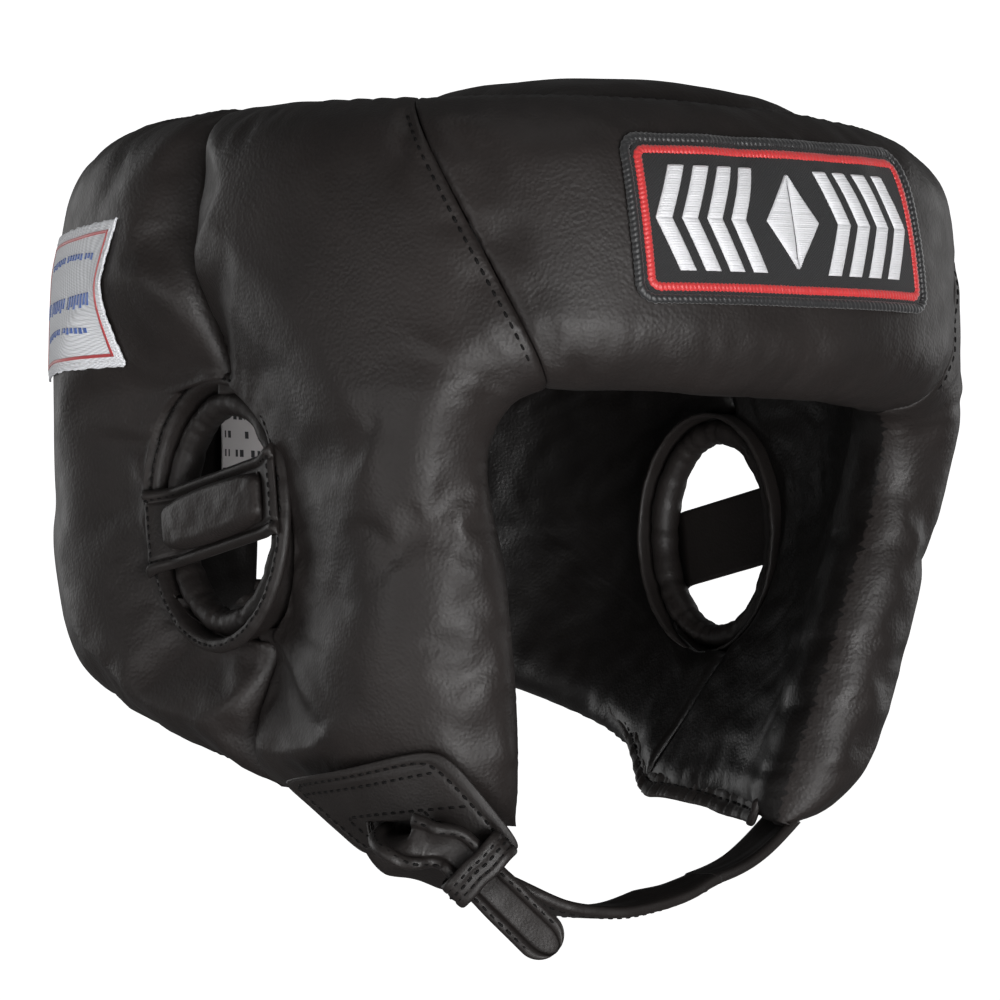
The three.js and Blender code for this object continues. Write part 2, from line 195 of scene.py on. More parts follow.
def rounded_profile(points, count=40):
    """A smooth closed outline through points."""
    p = np.asarray(points, float)
    ring = catmull_rom(np.vstack([p[-2:], p, p[:3]]), range(2, len(p) + 2), 12)
    return evenly(np.vstack([ring, ring[:1]]), count + 1)[:-1]


def evenly(points, count, measure=None):
    """points resampled to `count` even steps along the length of `measure`."""
    measured = points if measure is None else measure
    along = distance_along(measured)
    at = np.linspace(0, along[-1], count)
    return np.stack([np.interp(at, along, points[:, k]) for k in range(points.shape[1])], axis=1)


def distance_along(line):
    return np.concatenate([[0], np.cumsum(np.linalg.norm(np.diff(line, axis=0), axis=1))])


def read_grid(grid, fi, fj):
    """A grid of vectors read between its points."""
    i, j = fi.astype(int), fj.astype(int)
    u, v = (fi - i)[..., None], (fj - j)[..., None]
    return (grid[i, j] * (1 - u) * (1 - v) + grid[i + 1, j] * u * (1 - v)
            + grid[i, j + 1] * (1 - u) * v + grid[i + 1, j + 1] * u * v)


def lattice(ix, iy, iz, seed):
    h = (ix * 73856093) ^ (iy * 19349663) ^ (iz * 83492791) ^ (seed * 2654435761)
    h = (h ^ (h >> 13)) * 1274126177
    return ((h ^ (h >> 16)) & 0xFFFF) / 32767.5 - 1


def noise(x, y, z=0.0, seed=1):
    """Smooth noise from -1 to 1 over three coordinates."""
    x, y, z = np.broadcast_arrays(np.asarray(x, float), np.asarray(y, float), np.asarray(z, float))
    fx, fy, fz = np.floor(x), np.floor(y), np.floor(z)
    ix, iy, iz = fx.astype(np.int64), fy.astype(np.int64), fz.astype(np.int64)
    ux, uy, uz = smooth(x - fx), smooth(y - fy), smooth(z - fz)
    total = 0
    for dx in (0, 1):
        for dy in (0, 1):
            for dz in (0, 1):
                weight = (ux if dx else 1 - ux) * (uy if dy else 1 - uy) * (uz if dz else 1 - uz)
                total = total + weight * lattice(ix + dx, iy + dy, iz + dz, seed)
    return total


def clouds(p, size, octaves=3, seed=1):
    """Layered noise over points p, with features of this size."""
    total, scale, amount = 0, 1 / size, 1.0
    for octave in range(octaves):
        total = total + amount * noise(p[..., 0] * scale, p[..., 1] * scale, p[..., 2] * scale, seed + octave)
        scale, amount = scale * 2.1, amount * 0.5
    return total


# ---------------------------------------------------------------- the shell's shape

def reach(degrees, z):
    """Distance from the shell's axis to its outer surface, in millimetres."""
    shell = settings()[0]
    side = np.abs(degrees)
    angle = np.radians(side)
    across = np.abs(np.sin(angle)) / (shell.half_width / MM)
    along = np.abs(np.cos(angle)) / (shell.half_depth / MM)
    section = (across ** shell.squareness + along ** shell.squareness) ** (-1 / shell.squareness)
    lean = 0.0025 * np.maximum(0, z - 40) ** 2
    face = smooth((90 - side) / 50)
    nape = smooth((side - 100) / 70)
    chin = 0.24 * (np.maximum(0, BROW_Z - z) / (BROW_Z - CHEEK_Z)) ** 1.25
    jaw = 0.29 * (np.maximum(0, -10 - z) / 72) ** 1.7 * (1 - nape)
    return (section - lean) * (1 - mix(jaw, chin, face))


def on_shell(degrees, z, depth):
    angle = np.radians(degrees)
    r = reach(degrees, z) - depth
    return np.stack(np.broadcast_arrays(r * np.sin(angle), -r * np.cos(angle), z), axis=-1)


def thickness(degrees):
    return mix(FRONT_PAD, REAR_PAD, smooth((np.abs(degrees) - 70) / 80))


def lower_edge(degrees):
    jaw = mix(NAPE_Z, JAW_Z, smooth((158 - degrees) / 68))
    return jaw + (CHEEK_Z - JAW_Z) * smooth((90 - degrees) / 57)


def rim(degrees):
    return mix(RIM_Z, REAR_RIM_Z, smooth((np.abs(degrees) - SEAM_TOP) / 80))


valley = table(VALLEY)
seam = table([(SEAM_BROW, BROW_Z), (SEAM_TOP, RIM_Z)])


def ear_degrees(y, z):
    """The angle at which the shell's inner part reaches this y."""
    degrees = np.full_like(np.asarray(y, float), 90.0)
    for _ in range(8):
        r = reach(degrees, z) - thickness(degrees) + 4
        degrees = np.degrees(np.arccos(np.clip(-y / r, -1, 1)))
    return degrees


def ear_sides(z):
    """The angles of the ear opening's front and back at a height, equal where there is none."""
    up = (z - EAR_Z) / EAR_HALF_HEIGHT
    half = EAR_HALF_WIDTH * np.sqrt(np.maximum(0, 1 - up ** 2))
    middle = EAR_Y + (z - EAR_Z) * math.tan(EAR_TILT)
    inside = np.abs(up) < 1
    front = np.where(inside, ear_degrees(middle - half, z), 999)
    back = np.where(inside, ear_degrees(middle + half, z), -999)
    return front, back


def eased(line, width):
    """A polyline with its corners rounded by a moving average."""
    padded = np.vstack([np.repeat(line[:1], width, 0), line, np.repeat(line[-1:], width, 0)])
    kernel = np.ones(2 * width + 1) / (2 * width + 1)
    out = np.stack([np.convolve(padded[:, k], kernel, "valid") for k in range(2)], axis=1)
    out[0], out[-1] = line[0], line[-1]
    return out


MIDDLE_DEPTH = 14  # millimetres under the cover, where pattern lines are measured


def measured(line, count):
    """A pattern line resampled evenly by its length on the shell."""
    return evenly(line, count, on_shell(line[:, 0], line[:, 1], MIDDLE_DEPTH))


def beside_valley(count, front):
    """The pads' edges at the valley, in front of it or behind, each going round its side of the ear."""
    z = np.arange(lower_edge(97.0), rim(90.0), 0.4)
    ear_front, ear_back = ear_sides(z)
    if front:
        degrees = np.minimum(valley(z), ear_front) - VALLEY_GAP
    else:
        degrees = np.maximum(valley(z), ear_back) + VALLEY_GAP
    return measured(eased(measured(np.stack([degrees, z], axis=1), 900), 9), count)


def face_line(count):
    """Front edge of the side pad: up the cheek and temple, then along the seam to the rim."""
    edge = through(FACE_EDGE[::-1], 160)
    top = np.stack([np.linspace(SEAM_BROW, SEAM_TOP, 90), np.linspace(BROW_Z, RIM_Z, 90)], axis=1)[1:]
    line = np.vstack([edge, top])
    line[:, 0] += SEAM_GAP
    return measured(line, count)


# ---------------------------------------------------------------- pads

LINE_STEP = 0.8  # millimetres between the points that stand for a line
AT_ONCE = 4000  # points measured together


def nearest(points, line):
    """For each point, the distance to a 3D polyline and how far along it that is."""
    flat = points.reshape(-1, 3)
    dense = evenly(line, max(2, int(distance_along(line)[-1] / LINE_STEP)))
    along = distance_along(dense)
    far, where = np.empty(len(flat)), np.empty(len(flat))
    for start in range(0, len(flat), AT_ONCE):
        part = slice(start, start + AT_ONCE)
        squares = ((flat[part][:, None, :] - dense[None]) ** 2).sum(-1)
        i = squares.argmin(1)
        far[part] = np.sqrt(squares[np.arange(len(i)), i])
        where[part] = along[i]
    return far.reshape(points.shape[:-1]), where.reshape(points.shape[:-1])


def rolled(distance, radius, drop):
    """How far a rounded edge dips: all of drop at the edge, nothing past radius."""
    t = 1 - np.clip(distance / radius, 0, 1)
    return drop * (1 - np.sqrt(np.maximum(0, 1 - t * t)))


def sloped(distance, radius, drop):
    return drop * (1 - smooth(distance / radius))


def together(*dips, power=3.0):
    """Dips joined without a crease."""
    return sum(np.maximum(d, 0) ** power for d in dips) ** (1 / power)


def normals_of(grid):
    return unit(np.cross(np.gradient(grid, axis=0), np.gradient(grid, axis=1)))


def closed_faces(nu, nv):
    """Quads of two nu by nv grids, outer then inner, joined round their edges."""
    i, j = np.meshgrid(np.arange(nu - 1), np.arange(nv - 1), indexing="ij")
    a = (i * nv + j).ravel()
    outer = np.stack([a, a + nv, a + nv + 1, a + 1], axis=1)
    inner = outer[:, ::-1] + nu * nv
    ring = [k * nv for k in range(nu)] + [(nu - 1) * nv + k for k in range(1, nv)]
    ring += [k * nv + nv - 1 for k in range(nu - 2, -1, -1)] + [k for k in range(nv - 2, 0, -1)]
    ring = np.array(ring)
    following = np.roll(ring, -1)
    n = nu * nv
    wall = np.stack([following, ring, ring + n, following + n], axis=1)
    return np.vstack([outer, inner, wall])


def closed_sheet(top, under):
    """Points and faces of one closed body between two grids."""
    return np.concatenate([top.reshape(-1, 3), under.reshape(-1, 3)]), closed_faces(*top.shape[:2])


def volume(points, faces):
    """Signed volume of a closed mesh, negative when its faces point inward."""
    fans = np.array([(f[0], f[k], f[k + 1]) for f in faces for k in range(1, len(f) - 1)])
    a, b, c = points[fans[:, 0]], points[fans[:, 1]], points[fans[:, 2]]
    return float((a * np.cross(b, c)).sum())


def mesh_piece(name, points, faces, material, body, slot, replaces=(), mirror=False, bend=None):
    """A smooth-shaded piece from points in millimetres, riding on a body. With bend, a pair of points,
    it is not put on the body, and the points themselves are not used."""
    points = np.asarray(points, float).reshape(-1, 3).copy()
    faces = [tuple(int(k) for k in f) for f in faces]
    if mirror:
        points[:, 0] *= -1
    if volume(points, faces) < 0:
        faces = [f[::-1] for f in faces]
    mesh = bpy.data.meshes.new(name)
    mesh.from_pydata((points * MM).tolist(), [], faces)
    mesh.validate()
    mesh.polygons.foreach_set("use_smooth", np.ones(len(mesh.polygons), bool))
    mesh.materials.append(material)
    piece = bpy.data.objects.new(name, mesh)
    bpy.context.scene.collection.objects.link(piece)
    if bend is None:
        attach(piece, body)
    else:
        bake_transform(piece)
    if replaces:
        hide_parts(*replaces)
    return piece


def both_sides(name, points, faces, material, body, slot, nodes=()):
    """The left piece and its mirror on the right. Each of nodes is a CAD name without its side."""
    made = []
    for side in ("left", "right"):
        made.append(mesh_piece(
            f"{side}_{name}", points, faces, material, body, slot,
            [f"{side}_{n}" for n in nodes], mirror=side == "right"))
    return made


RELAXED = 240  # passes that even out a pad's grid


class Pad:
    """A padded panel over the pattern lines `front` and `back`, each a list of (degrees, height)."""

    def __init__(self, front, back, edges, across):
        nv = len(front)
        u = np.linspace(0, 1, across)
        self.plan = mix(front[None], back[None], u[:, None, None])
        for _ in range(RELAXED):
            self.plan[1:-1, 1:-1] = (self.plan[:-2, 1:-1] + self.plan[2:, 1:-1]
                                     + self.plan[1:-1, :-2] + self.plan[1:-1, 2:]) / 4
        self.degrees, self.z = self.plan[..., 0], self.plan[..., 1]
        self.thick = thickness(self.degrees)
        self.middle = on_shell(self.degrees, self.z, self.thick / 2)
        sides = {
            "front": self.middle[0], "back": self.middle[-1],
            "low": self.middle[:, 0], "high": self.middle[:, -1],
        }
        self.size = (across, nv)
        self.edge = {}
        for name, parts in edges.items():
            line = np.vstack([sides[p][a:b] for p, a, b in parts])
            self.edge[name] = nearest(self.middle, line)

    def surfaces(self, outer, inner):
        """Outer and inner grids from how far each dips, kept a little apart."""
        inner = np.minimum(inner, self.thick - 1)
        outer = np.minimum(outer, self.thick - inner - 0.6)
        return (on_shell(self.degrees, self.z, outer),
                on_shell(self.degrees, self.z, self.thick - inner))


def gathers(edge, wave, spread, amount, seed):
    """Small folds running away from an edge."""
    distance, along = edge
    folds = noise(along / wave, distance / (spread * 2.2), 0, seed)
    folds = folds + 0.5 * noise(along / (wave * 0.47), distance / spread, 3.3, seed + 5)
    folds = folds + 0.32 * noise(along / 1.9, distance / (spread * 0.7), 6.1, seed + 9)
    return amount * folds * np.exp(-(distance / spread) ** 2) * smooth(distance / 2.0)


def fan(points, centre, wave_degrees, near, far, amount, seed, toward, half_angle):
    """Folds that radiate from a point on the shell, within a fan that looks toward a direction."""
    away = points - centre
    radius = np.linalg.norm(away, axis=-1)
    axis = unit(toward)
    over = np.cross(unit(np.cross(axis, [0, 0, 1.0])), axis)
    angle = np.degrees(np.arctan2(away @ over, away @ axis))
    mask = (smooth(1.4 - np.abs(angle) / half_angle) * smooth((radius - near) / 6)
            * smooth((far - radius) / (far * 0.6)))
    return amount * noise(angle / wave_degrees, radius / 26, 1.7, seed) * mask


def every(count, step):
    return np.unique(np.append(np.arange(0, count, step), count - 1))


def spread(coarse, rows, columns, nu, nv):
    """A coarse grid of displacements read at every point of the fine grid, then softened."""
    part = np.stack([[np.interp(np.arange(nu), rows, coarse[:, c, k]) for c in range(len(columns))]
                     for k in range(3)], axis=-1)
    fine = np.stack([[np.interp(np.arange(nv), columns, part[:, r, k]) for r in range(nu)]
                     for k in range(3)], axis=-1)
    for _ in range(4):
        fine[1:-1, 1:-1] = (fine[1:-1, 1:-1] * 2 + fine[:-2, 1:-1] + fine[2:, 1:-1]
                            + fine[1:-1, :-2] + fine[1:-1, 2:]) / 6
    return fine


CLOTH_FRAMES = 20


def puffed(name, top, under):
    """The pad's leather blown out and creased by a cloth simulation, held along its sewn edges."""
    shell = settings()[0]
    nu, nv = top.shape[:2]
    step = max(2, int(round(shell.cloth_grid / shell.grid)))
    rows, columns = every(nu, step), every(nv, step)
    pick = np.ix_(rows, columns)
    points, faces = closed_sheet(top[pick], under[pick])
    mesh = bpy.data.meshes.new(f"{name}_cloth")
    mesh.from_pydata((points * MM).tolist(), [], [tuple(int(k) for k in f) for f in faces])
    cloth = bpy.data.objects.new(f"{name}_cloth", mesh)
    bpy.context.scene.collection.objects.link(cloth)
    cn, cm = len(rows), len(columns)
    edge = np.minimum(np.minimum(np.arange(cn), np.arange(cn)[::-1])[:, None],
                      np.minimum(np.arange(cm), np.arange(cm)[::-1])[None])
    held = np.where(edge == 0, 1.0, np.where(edge == 1, 0.35, 0.0)).ravel()
    seams = cloth.vertex_groups.new(name="seams")
    for index, weight in enumerate(np.concatenate([held, np.maximum(held, 0.3)])):
        if weight > 0:
            seams.add([index], float(weight), "REPLACE")
    modifier = cloth.modifiers.new("Cloth", "CLOTH")
    hide = modifier.settings
    hide.quality = 5
    hide.mass = 0.3
    hide.tension_stiffness = hide.compression_stiffness = 12
    hide.shear_stiffness = 4
    hide.bending_stiffness = 0.35
    hide.shrink_min = -shell.slack
    hide.use_pressure = True
    hide.uniform_pressure_force = shell.pressure
    hide.vertex_group_mass = "seams"
    hide.pin_stiffness = 1.0
    hide.effector_weights.gravity = 0
    modifier.collision_settings.use_collision = False
    modifier.collision_settings.use_self_collision = False
    modifier.point_cache.frame_start, modifier.point_cache.frame_end = 1, CLOTH_FRAMES
    scene = bpy.context.scene
    for number in range(1, CLOTH_FRAMES + 1):
        scene.frame_set(number)
    evaluated = cloth.evaluated_get(bpy.context.evaluated_depsgraph_get())
    moved = np.empty(len(points) * 3)
    evaluated.data.vertices.foreach_get("co", moved)
    move = moved.reshape(-1, 3) / MM - points
    scene.frame_set(1)
    bpy.data.objects.remove(cloth)
    bpy.data.meshes.remove(mesh)
    length = np.linalg.norm(move, axis=1, keepdims=True)
    most = shell.most_puff / MM
    move = move * np.minimum(1, most * np.tanh(length / most) / np.maximum(length, 1e-6))
    half = cn * cm
    outer = spread(move[:half].reshape(cn, cm, 3), rows, columns, nu, nv)
    inner = spread(move[half:].reshape(cn, cm, 3), rows, columns, nu, nv)
    print(f"{name}: cloth moved {length.mean():.2f} mm on average, {length.max():.2f} mm at most")
    return top + outer, under + inner * 0.5


def padded_piece(name, pad, outer, inner, crease, lining_crease, nodes, sides):
    """Builds a pad as one closed piece, once per side, with its surface creased along the normals."""
    shell = settings()[0]
    top, under = pad.surfaces(outer, inner)
    top, under = puffed(name, top, under)
    top = top + normals_of(top) * (crease * shell.fullness)[..., None]
    under = under - normals_of(under) * (lining_crease * shell.fullness)[..., None]
    points, faces = closed_sheet(top, under)
    for side in sides:
        prefix = f"{side}_" if side else ""
        piece = mesh_piece(
            f"{prefix}{name}", points, faces, MATERIALS["cover"], SHELL, "cover_leather",
            [f"{prefix}{n}" for n in nodes], mirror=side == "right")
        # The inner faces take the lining leather, whose dark colour is painted shade for the inside of the
        # shell.
        piece.data.materials.append(MATERIALS["lining"])
        per_side = (pad.size[0] - 1) * (pad.size[1] - 1)
        for polygon in piece.data.polygons[per_side:2 * per_side]:
            polygon.material_index = 1


def steps(length):
    return max(8, int(length * MM / settings()[0].grid))


# ---------------------------------------------------------------- materials

def shader(name):
    material = bpy.data.materials.new(name)
    material.use_nodes = True
    tree = material.node_tree
    return material, tree.nodes, tree.links, tree.nodes["Principled BSDF"]


def pattern(nodes, links, kind, coordinates, **values):
    node = nodes.new(kind)
    for key, value in values.items():
        if hasattr(node, key):
            setattr(node, key, value)
        else:
            node.inputs[key.replace("_", " ").title()].default_value = value
    links.new(coordinates, node.inputs["Vector"])
    return node


def leather(name, colour, roughness, grain=0.00095, relief=0.00017, crease=0.12):
    """Pebbled leather: fine cells, crossing hair creases, and slow changes of tone and gloss."""
    material, nodes, links, base = shader(name)
    place = nodes.new("ShaderNodeTexCoord").outputs["Object"]
    cells = pattern(nodes, links, "ShaderNodeTexVoronoi", place, scale=1 / grain, randomness=1.0)
    cells.feature = "SMOOTH_F1"
    cells.inputs["Smoothness"].default_value = 0.6
    warp = pattern(nodes, links, "ShaderNodeTexNoise", place, scale=180.0, detail=3.0)
    hair = pattern(nodes, links, "ShaderNodeTexVoronoi", place, scale=0.16 / grain)
    hair.feature = "DISTANCE_TO_EDGE"
    shift = nodes.new("ShaderNodeMixRGB")
    shift.blend_type = "ADD"
    shift.inputs["Fac"].default_value = 0.004
    links.new(place, shift.inputs["Color1"])
    links.new(warp.outputs["Color"], shift.inputs["Color2"])
    links.new(shift.outputs["Color"], hair.inputs["Vector"])
    crack = nodes.new("ShaderNodeMapRange")
    crack.inputs["From Max"].default_value = 0.07
    links.new(hair.outputs["Distance"], crack.inputs["Value"])
    height = nodes.new("ShaderNodeMath")
    height.operation = "MULTIPLY_ADD"
    height.inputs[1].default_value = crease
    links.new(crack.outputs["Result"], height.inputs[0])
    links.new(cells.outputs["Distance"], height.inputs[2])
    fine = nodes.new("ShaderNodeBump")
    fine.inputs["Strength"].default_value = 0.6
    fine.inputs["Distance"].default_value = relief
    links.new(height.outputs["Value"], fine.inputs["Height"])
    soft = pattern(nodes, links, "ShaderNodeTexNoise", place, scale=120.0, detail=4.0)
    broad = nodes.new("ShaderNodeBump")
    broad.inputs["Strength"].default_value = 0.35
    broad.inputs["Distance"].default_value = 0.0006
    links.new(soft.outputs["Fac"], broad.inputs["Height"])
    links.new(fine.outputs["Normal"], broad.inputs["Normal"])
    links.new(broad.outputs["Normal"], base.inputs["Normal"])
    tone = pattern(nodes, links, "ShaderNodeTexNoise", place, scale=38.0, detail=5.0)
    ramp = toned(nodes, links, base, tone.outputs["Fac"], colour, 0.82, 1.22)
    ramp.color_ramp.elements[0].position, ramp.color_ramp.elements[1].position = 0.32, 0.72
    gloss = nodes.new("ShaderNodeMapRange")
    gloss.inputs["From Min"].default_value, gloss.inputs["From Max"].default_value = 0.3, 0.7
    gloss.inputs["To Min"].default_value = roughness - 0.06
    gloss.inputs["To Max"].default_value = roughness + 0.07
    links.new(soft.outputs["Fac"], gloss.inputs["Value"])
    links.new(gloss.outputs["Result"], base.inputs["Roughness"])
    base.inputs["Specular IOR Level"].default_value = 0.3
    base.inputs["Coat Weight"].default_value = 0.03
    base.inputs["Coat Roughness"].default_value = 0.35
    return material


def bumped(nodes, links, base, height, strength, distance):
    bump = nodes.new("ShaderNodeBump")
    bump.inputs["Strength"].default_value = strength
    bump.inputs["Distance"].default_value = distance
    links.new(height, bump.inputs["Height"])
    links.new(bump.outputs["Normal"], base.inputs["Normal"])


def toned(nodes, links, base, value, colour, dark, light):
    """The base colour, from a darker to a lighter shade of colour by value."""
    ramp = nodes.new("ShaderNodeValToRGB")
    ramp.color_ramp.elements[0].color = (*(c * dark for c in colour), 1)
    ramp.color_ramp.elements[1].color = (*(min(c * light, 1) for c in colour), 1)
    links.new(value, ramp.inputs["Fac"])
    links.new(ramp.outputs["Color"], base.inputs["Base Color"])
    return ramp


def satin_thread(name, colour):
    """Shiny embroidery thread, with fine fibres."""
    material, nodes, links, base = shader(name)
    place = nodes.new("ShaderNodeTexCoord").outputs["Object"]
    fibre = pattern(nodes, links, "ShaderNodeTexNoise", place, scale=3800.0, detail=3.0)
    toned(nodes, links, base, fibre.outputs["Fac"], colour, 0.72, 1.12)
    bumped(nodes, links, base, fibre.outputs["Fac"], 0.5, 0.00008)
    base.inputs["Roughness"].default_value = 0.42
    base.inputs["Sheen Weight"].default_value = 0.25
    return material


def woven(name, colour, step, diagonal):
    """A fine weave: crossing ribs, or slanting ones for twill."""
    material, nodes, links, base = shader(name)
    place = nodes.new("ShaderNodeTexCoord").outputs["Object"]
    turned = nodes.new("ShaderNodeMapping")
    turned.inputs["Rotation"].default_value = (0, math.radians(45 if diagonal else 0), 0)
    links.new(place, turned.inputs["Vector"])
    ribs = []
    for axis in ("X", "Z"):
        wave = pattern(nodes, links, "ShaderNodeTexWave", turned.outputs["Vector"],
                       scale=0.32 / step, distortion=0.6)
        wave.bands_direction = axis
        ribs.append(wave)
    both = nodes.new("ShaderNodeMath")
    both.operation = "MULTIPLY_ADD"
    both.inputs[1].default_value = 0.35 if diagonal else 0.9
    links.new(ribs[0].outputs["Fac"], both.inputs[0])
    links.new(ribs[1].outputs["Fac"], both.inputs[2])
    half = nodes.new("ShaderNodeMath")
    half.operation = "MULTIPLY"
    half.inputs[1].default_value = 0.6
    links.new(both.outputs["Value"], half.inputs[0])
    toned(nodes, links, base, half.outputs["Value"], colour, 0.72, 1.18)
    bumped(nodes, links, base, half.outputs["Value"], 0.7, 0.0002)
    base.inputs["Roughness"].default_value = 0.8
    base.inputs["Sheen Weight"].default_value = 0.12
    return material


def napped(name, colour, grain):
    """Hook or loop tape: a dense field of small tufts."""
    material, nodes, links, base = shader(name)
    place = nodes.new("ShaderNodeTexCoord").outputs["Object"]
    tufts = pattern(nodes, links, "ShaderNodeTexVoronoi", place, scale=1 / grain, randomness=0.5)
    toned(nodes, links, base, tufts.outputs["Distance"], colour, 1.9, 0.5)
    bumped(nodes, links, base, tufts.outputs["Distance"], 1.0, 0.0005)
    base.inputs["Roughness"].default_value = 0.85
    base.inputs["Sheen Weight"].default_value = 0.3
    return material


def printed_label():
    """A pale woven label with rows of short dashes in place of its print."""
    material, nodes, links, base = shader("care_label_weave")
    place = nodes.new("ShaderNodeTexCoord").outputs["Object"]
    apart = nodes.new("ShaderNodeSeparateXYZ")
    links.new(place, apart.inputs["Vector"])

    def math_node(kind, a, b=None, value=0.0):
        node = nodes.new("ShaderNodeMath")
        node.operation = kind
        links.new(a, node.inputs[0])
        if b is not None:
            links.new(b, node.inputs[1])
        else:
            node.inputs[1].default_value = value
        return node.outputs["Value"]

    row = math_node("MULTIPLY", apart.outputs["Z"], value=1 / 0.0052)
    line = math_node("FRACT", row)
    above, below = math_node("GREATER_THAN", line, value=0.34), math_node("LESS_THAN", line, value=0.72)
    in_row = math_node("MULTIPLY", above, below)
    step = math_node("MULTIPLY", apart.outputs["X"], value=1 / 0.0019)
    joined = nodes.new("ShaderNodeCombineXYZ")
    links.new(step, joined.inputs["X"])
    links.new(math_node("FLOOR", row), joined.inputs["Y"])
    words = pattern(nodes, links, "ShaderNodeTexNoise", joined.outputs["Vector"], scale=0.9, detail=0.0)
    mark = math_node("MULTIPLY", in_row, math_node("GREATER_THAN", words.outputs["Fac"], value=0.47))
    stem = math_node("GREATER_THAN", math_node("FRACT", step), value=0.34)
    ink = math_node("MULTIPLY", mark, stem)
    colours = nodes.new("ShaderNodeValToRGB")
    colours.color_ramp.elements[0].color = (0.42, 0.40, 0.40, 1)
    colours.color_ramp.elements[1].color = (0.018, 0.018, 0.02, 1)
    links.new(ink, colours.inputs["Fac"])
    links.new(colours.outputs["Color"], base.inputs["Base Color"])
    weave = pattern(nodes, links, "ShaderNodeTexWave", place, scale=900.0)
    bumped(nodes, links, base, weave.outputs["Fac"], 0.4, 0.0001)
    base.inputs["Roughness"].default_value = 0.8
    return material


MATERIALS = {}


def build_materials():
    _, hide, trim = settings()
    MATERIALS["cover"] = leather("cover_leather", hide.cover, hide.roughness)
    # The lining leather's dark colour is painted shade for the inside of the shell, not a darker hide.
    MATERIALS["lining"] = leather("lining_leather", hide.lining, hide.roughness - 0.08, 0.0008, 0.00012, 0.1)
    MATERIALS["strap"] = leather("strap_leather", hide.strap, hide.roughness, 0.0007, 0.0001, 0.1)
    thread, nodes, links, base = shader("sewing_thread")
    place = nodes.new("ShaderNodeTexCoord").outputs["Object"]
    twist = pattern(nodes, links, "ShaderNodeTexNoise", place, scale=2600.0, detail=2.0)
    toned(nodes, links, base, twist.outputs["Fac"], trim.thread, 0.7, 1.6)
    base.inputs["Roughness"].default_value = 0.7
    base.inputs["Specular IOR Level"].default_value = 0.12
    MATERIALS["thread"] = thread
    MATERIALS["white_satin"] = satin_thread("white_satin", trim.patch_motif)
    MATERIALS["red_satin"] = satin_thread("red_satin", trim.patch_border)
    MATERIALS["black_satin"] = satin_thread("black_satin", (0.012, 0.012, 0.013))
    MATERIALS["label_red"] = satin_thread("label_red", (0.45, 0.03, 0.035))
    MATERIALS["label_blue"] = satin_thread("label_blue", (0.035, 0.10, 0.36))
    MATERIALS["twill"] = woven("patch_twill", (0.0125, 0.0125, 0.0135), 0.00055, True)
    MATERIALS["size_label"] = woven("size_label_weave", (0.72, 0.73, 0.76), 0.0004, False)
    MATERIALS["care_label"] = printed_label()
    MATERIALS["hook"] = napped("hook_tape", (0.008, 0.008, 0.0085), 0.0011)
    MATERIALS["loop"] = napped("loop_tape", (0.011, 0.011, 0.0115), 0.0007)


# ---------------------------------------------------------------- pieces

def build_forehead():
    nv = steps(76)
    z = np.linspace(BROW_Z, RIM_Z, nv)
    front = np.stack([-seam(z) + SEAM_GAP, z], axis=1)
    back = np.stack([seam(z) - SEAM_GAP, z], axis=1)
    pad = Pad(front, back, {
        "seam_right": [("front", 0, None)], "seam_left": [("back", 0, None)],
        "brow": [("low", 0, None)], "rim": [("high", 0, None)],
    }, steps(176))
    edge = pad.edge
    groove = np.minimum(edge["seam_right"][0], edge["seam_left"][0])
    outer = together(
        rolled(edge["brow"][0], 17, pad.thick * 0.58), rolled(edge["rim"][0], 21, pad.thick * 0.6),
        rolled(groove, 2.4, 1.5))
    inner = together(
        rolled(edge["brow"][0], 12, pad.thick * 0.42), rolled(edge["rim"][0], 14, pad.thick * 0.4),
        rolled(groove, 3.5, 1.5))
    crease = (gathers(edge["brow"], 5.2, 15, 0.38, 3) + gathers(edge["rim"], 8.0, 12, 0.25, 9)
              + 0.35 * clouds(pad.middle, 36, 2, 21))
    lining = gathers(edge["brow"], 8, 14, 0.5, 5) + 0.6 * clouds(pad.middle, 30, 2, 22)
    padded_piece("forehead_pad", pad, outer, inner, crease, lining,
                 ["forehead_cover", "forehead_foam", "forehead_lining"], [""])


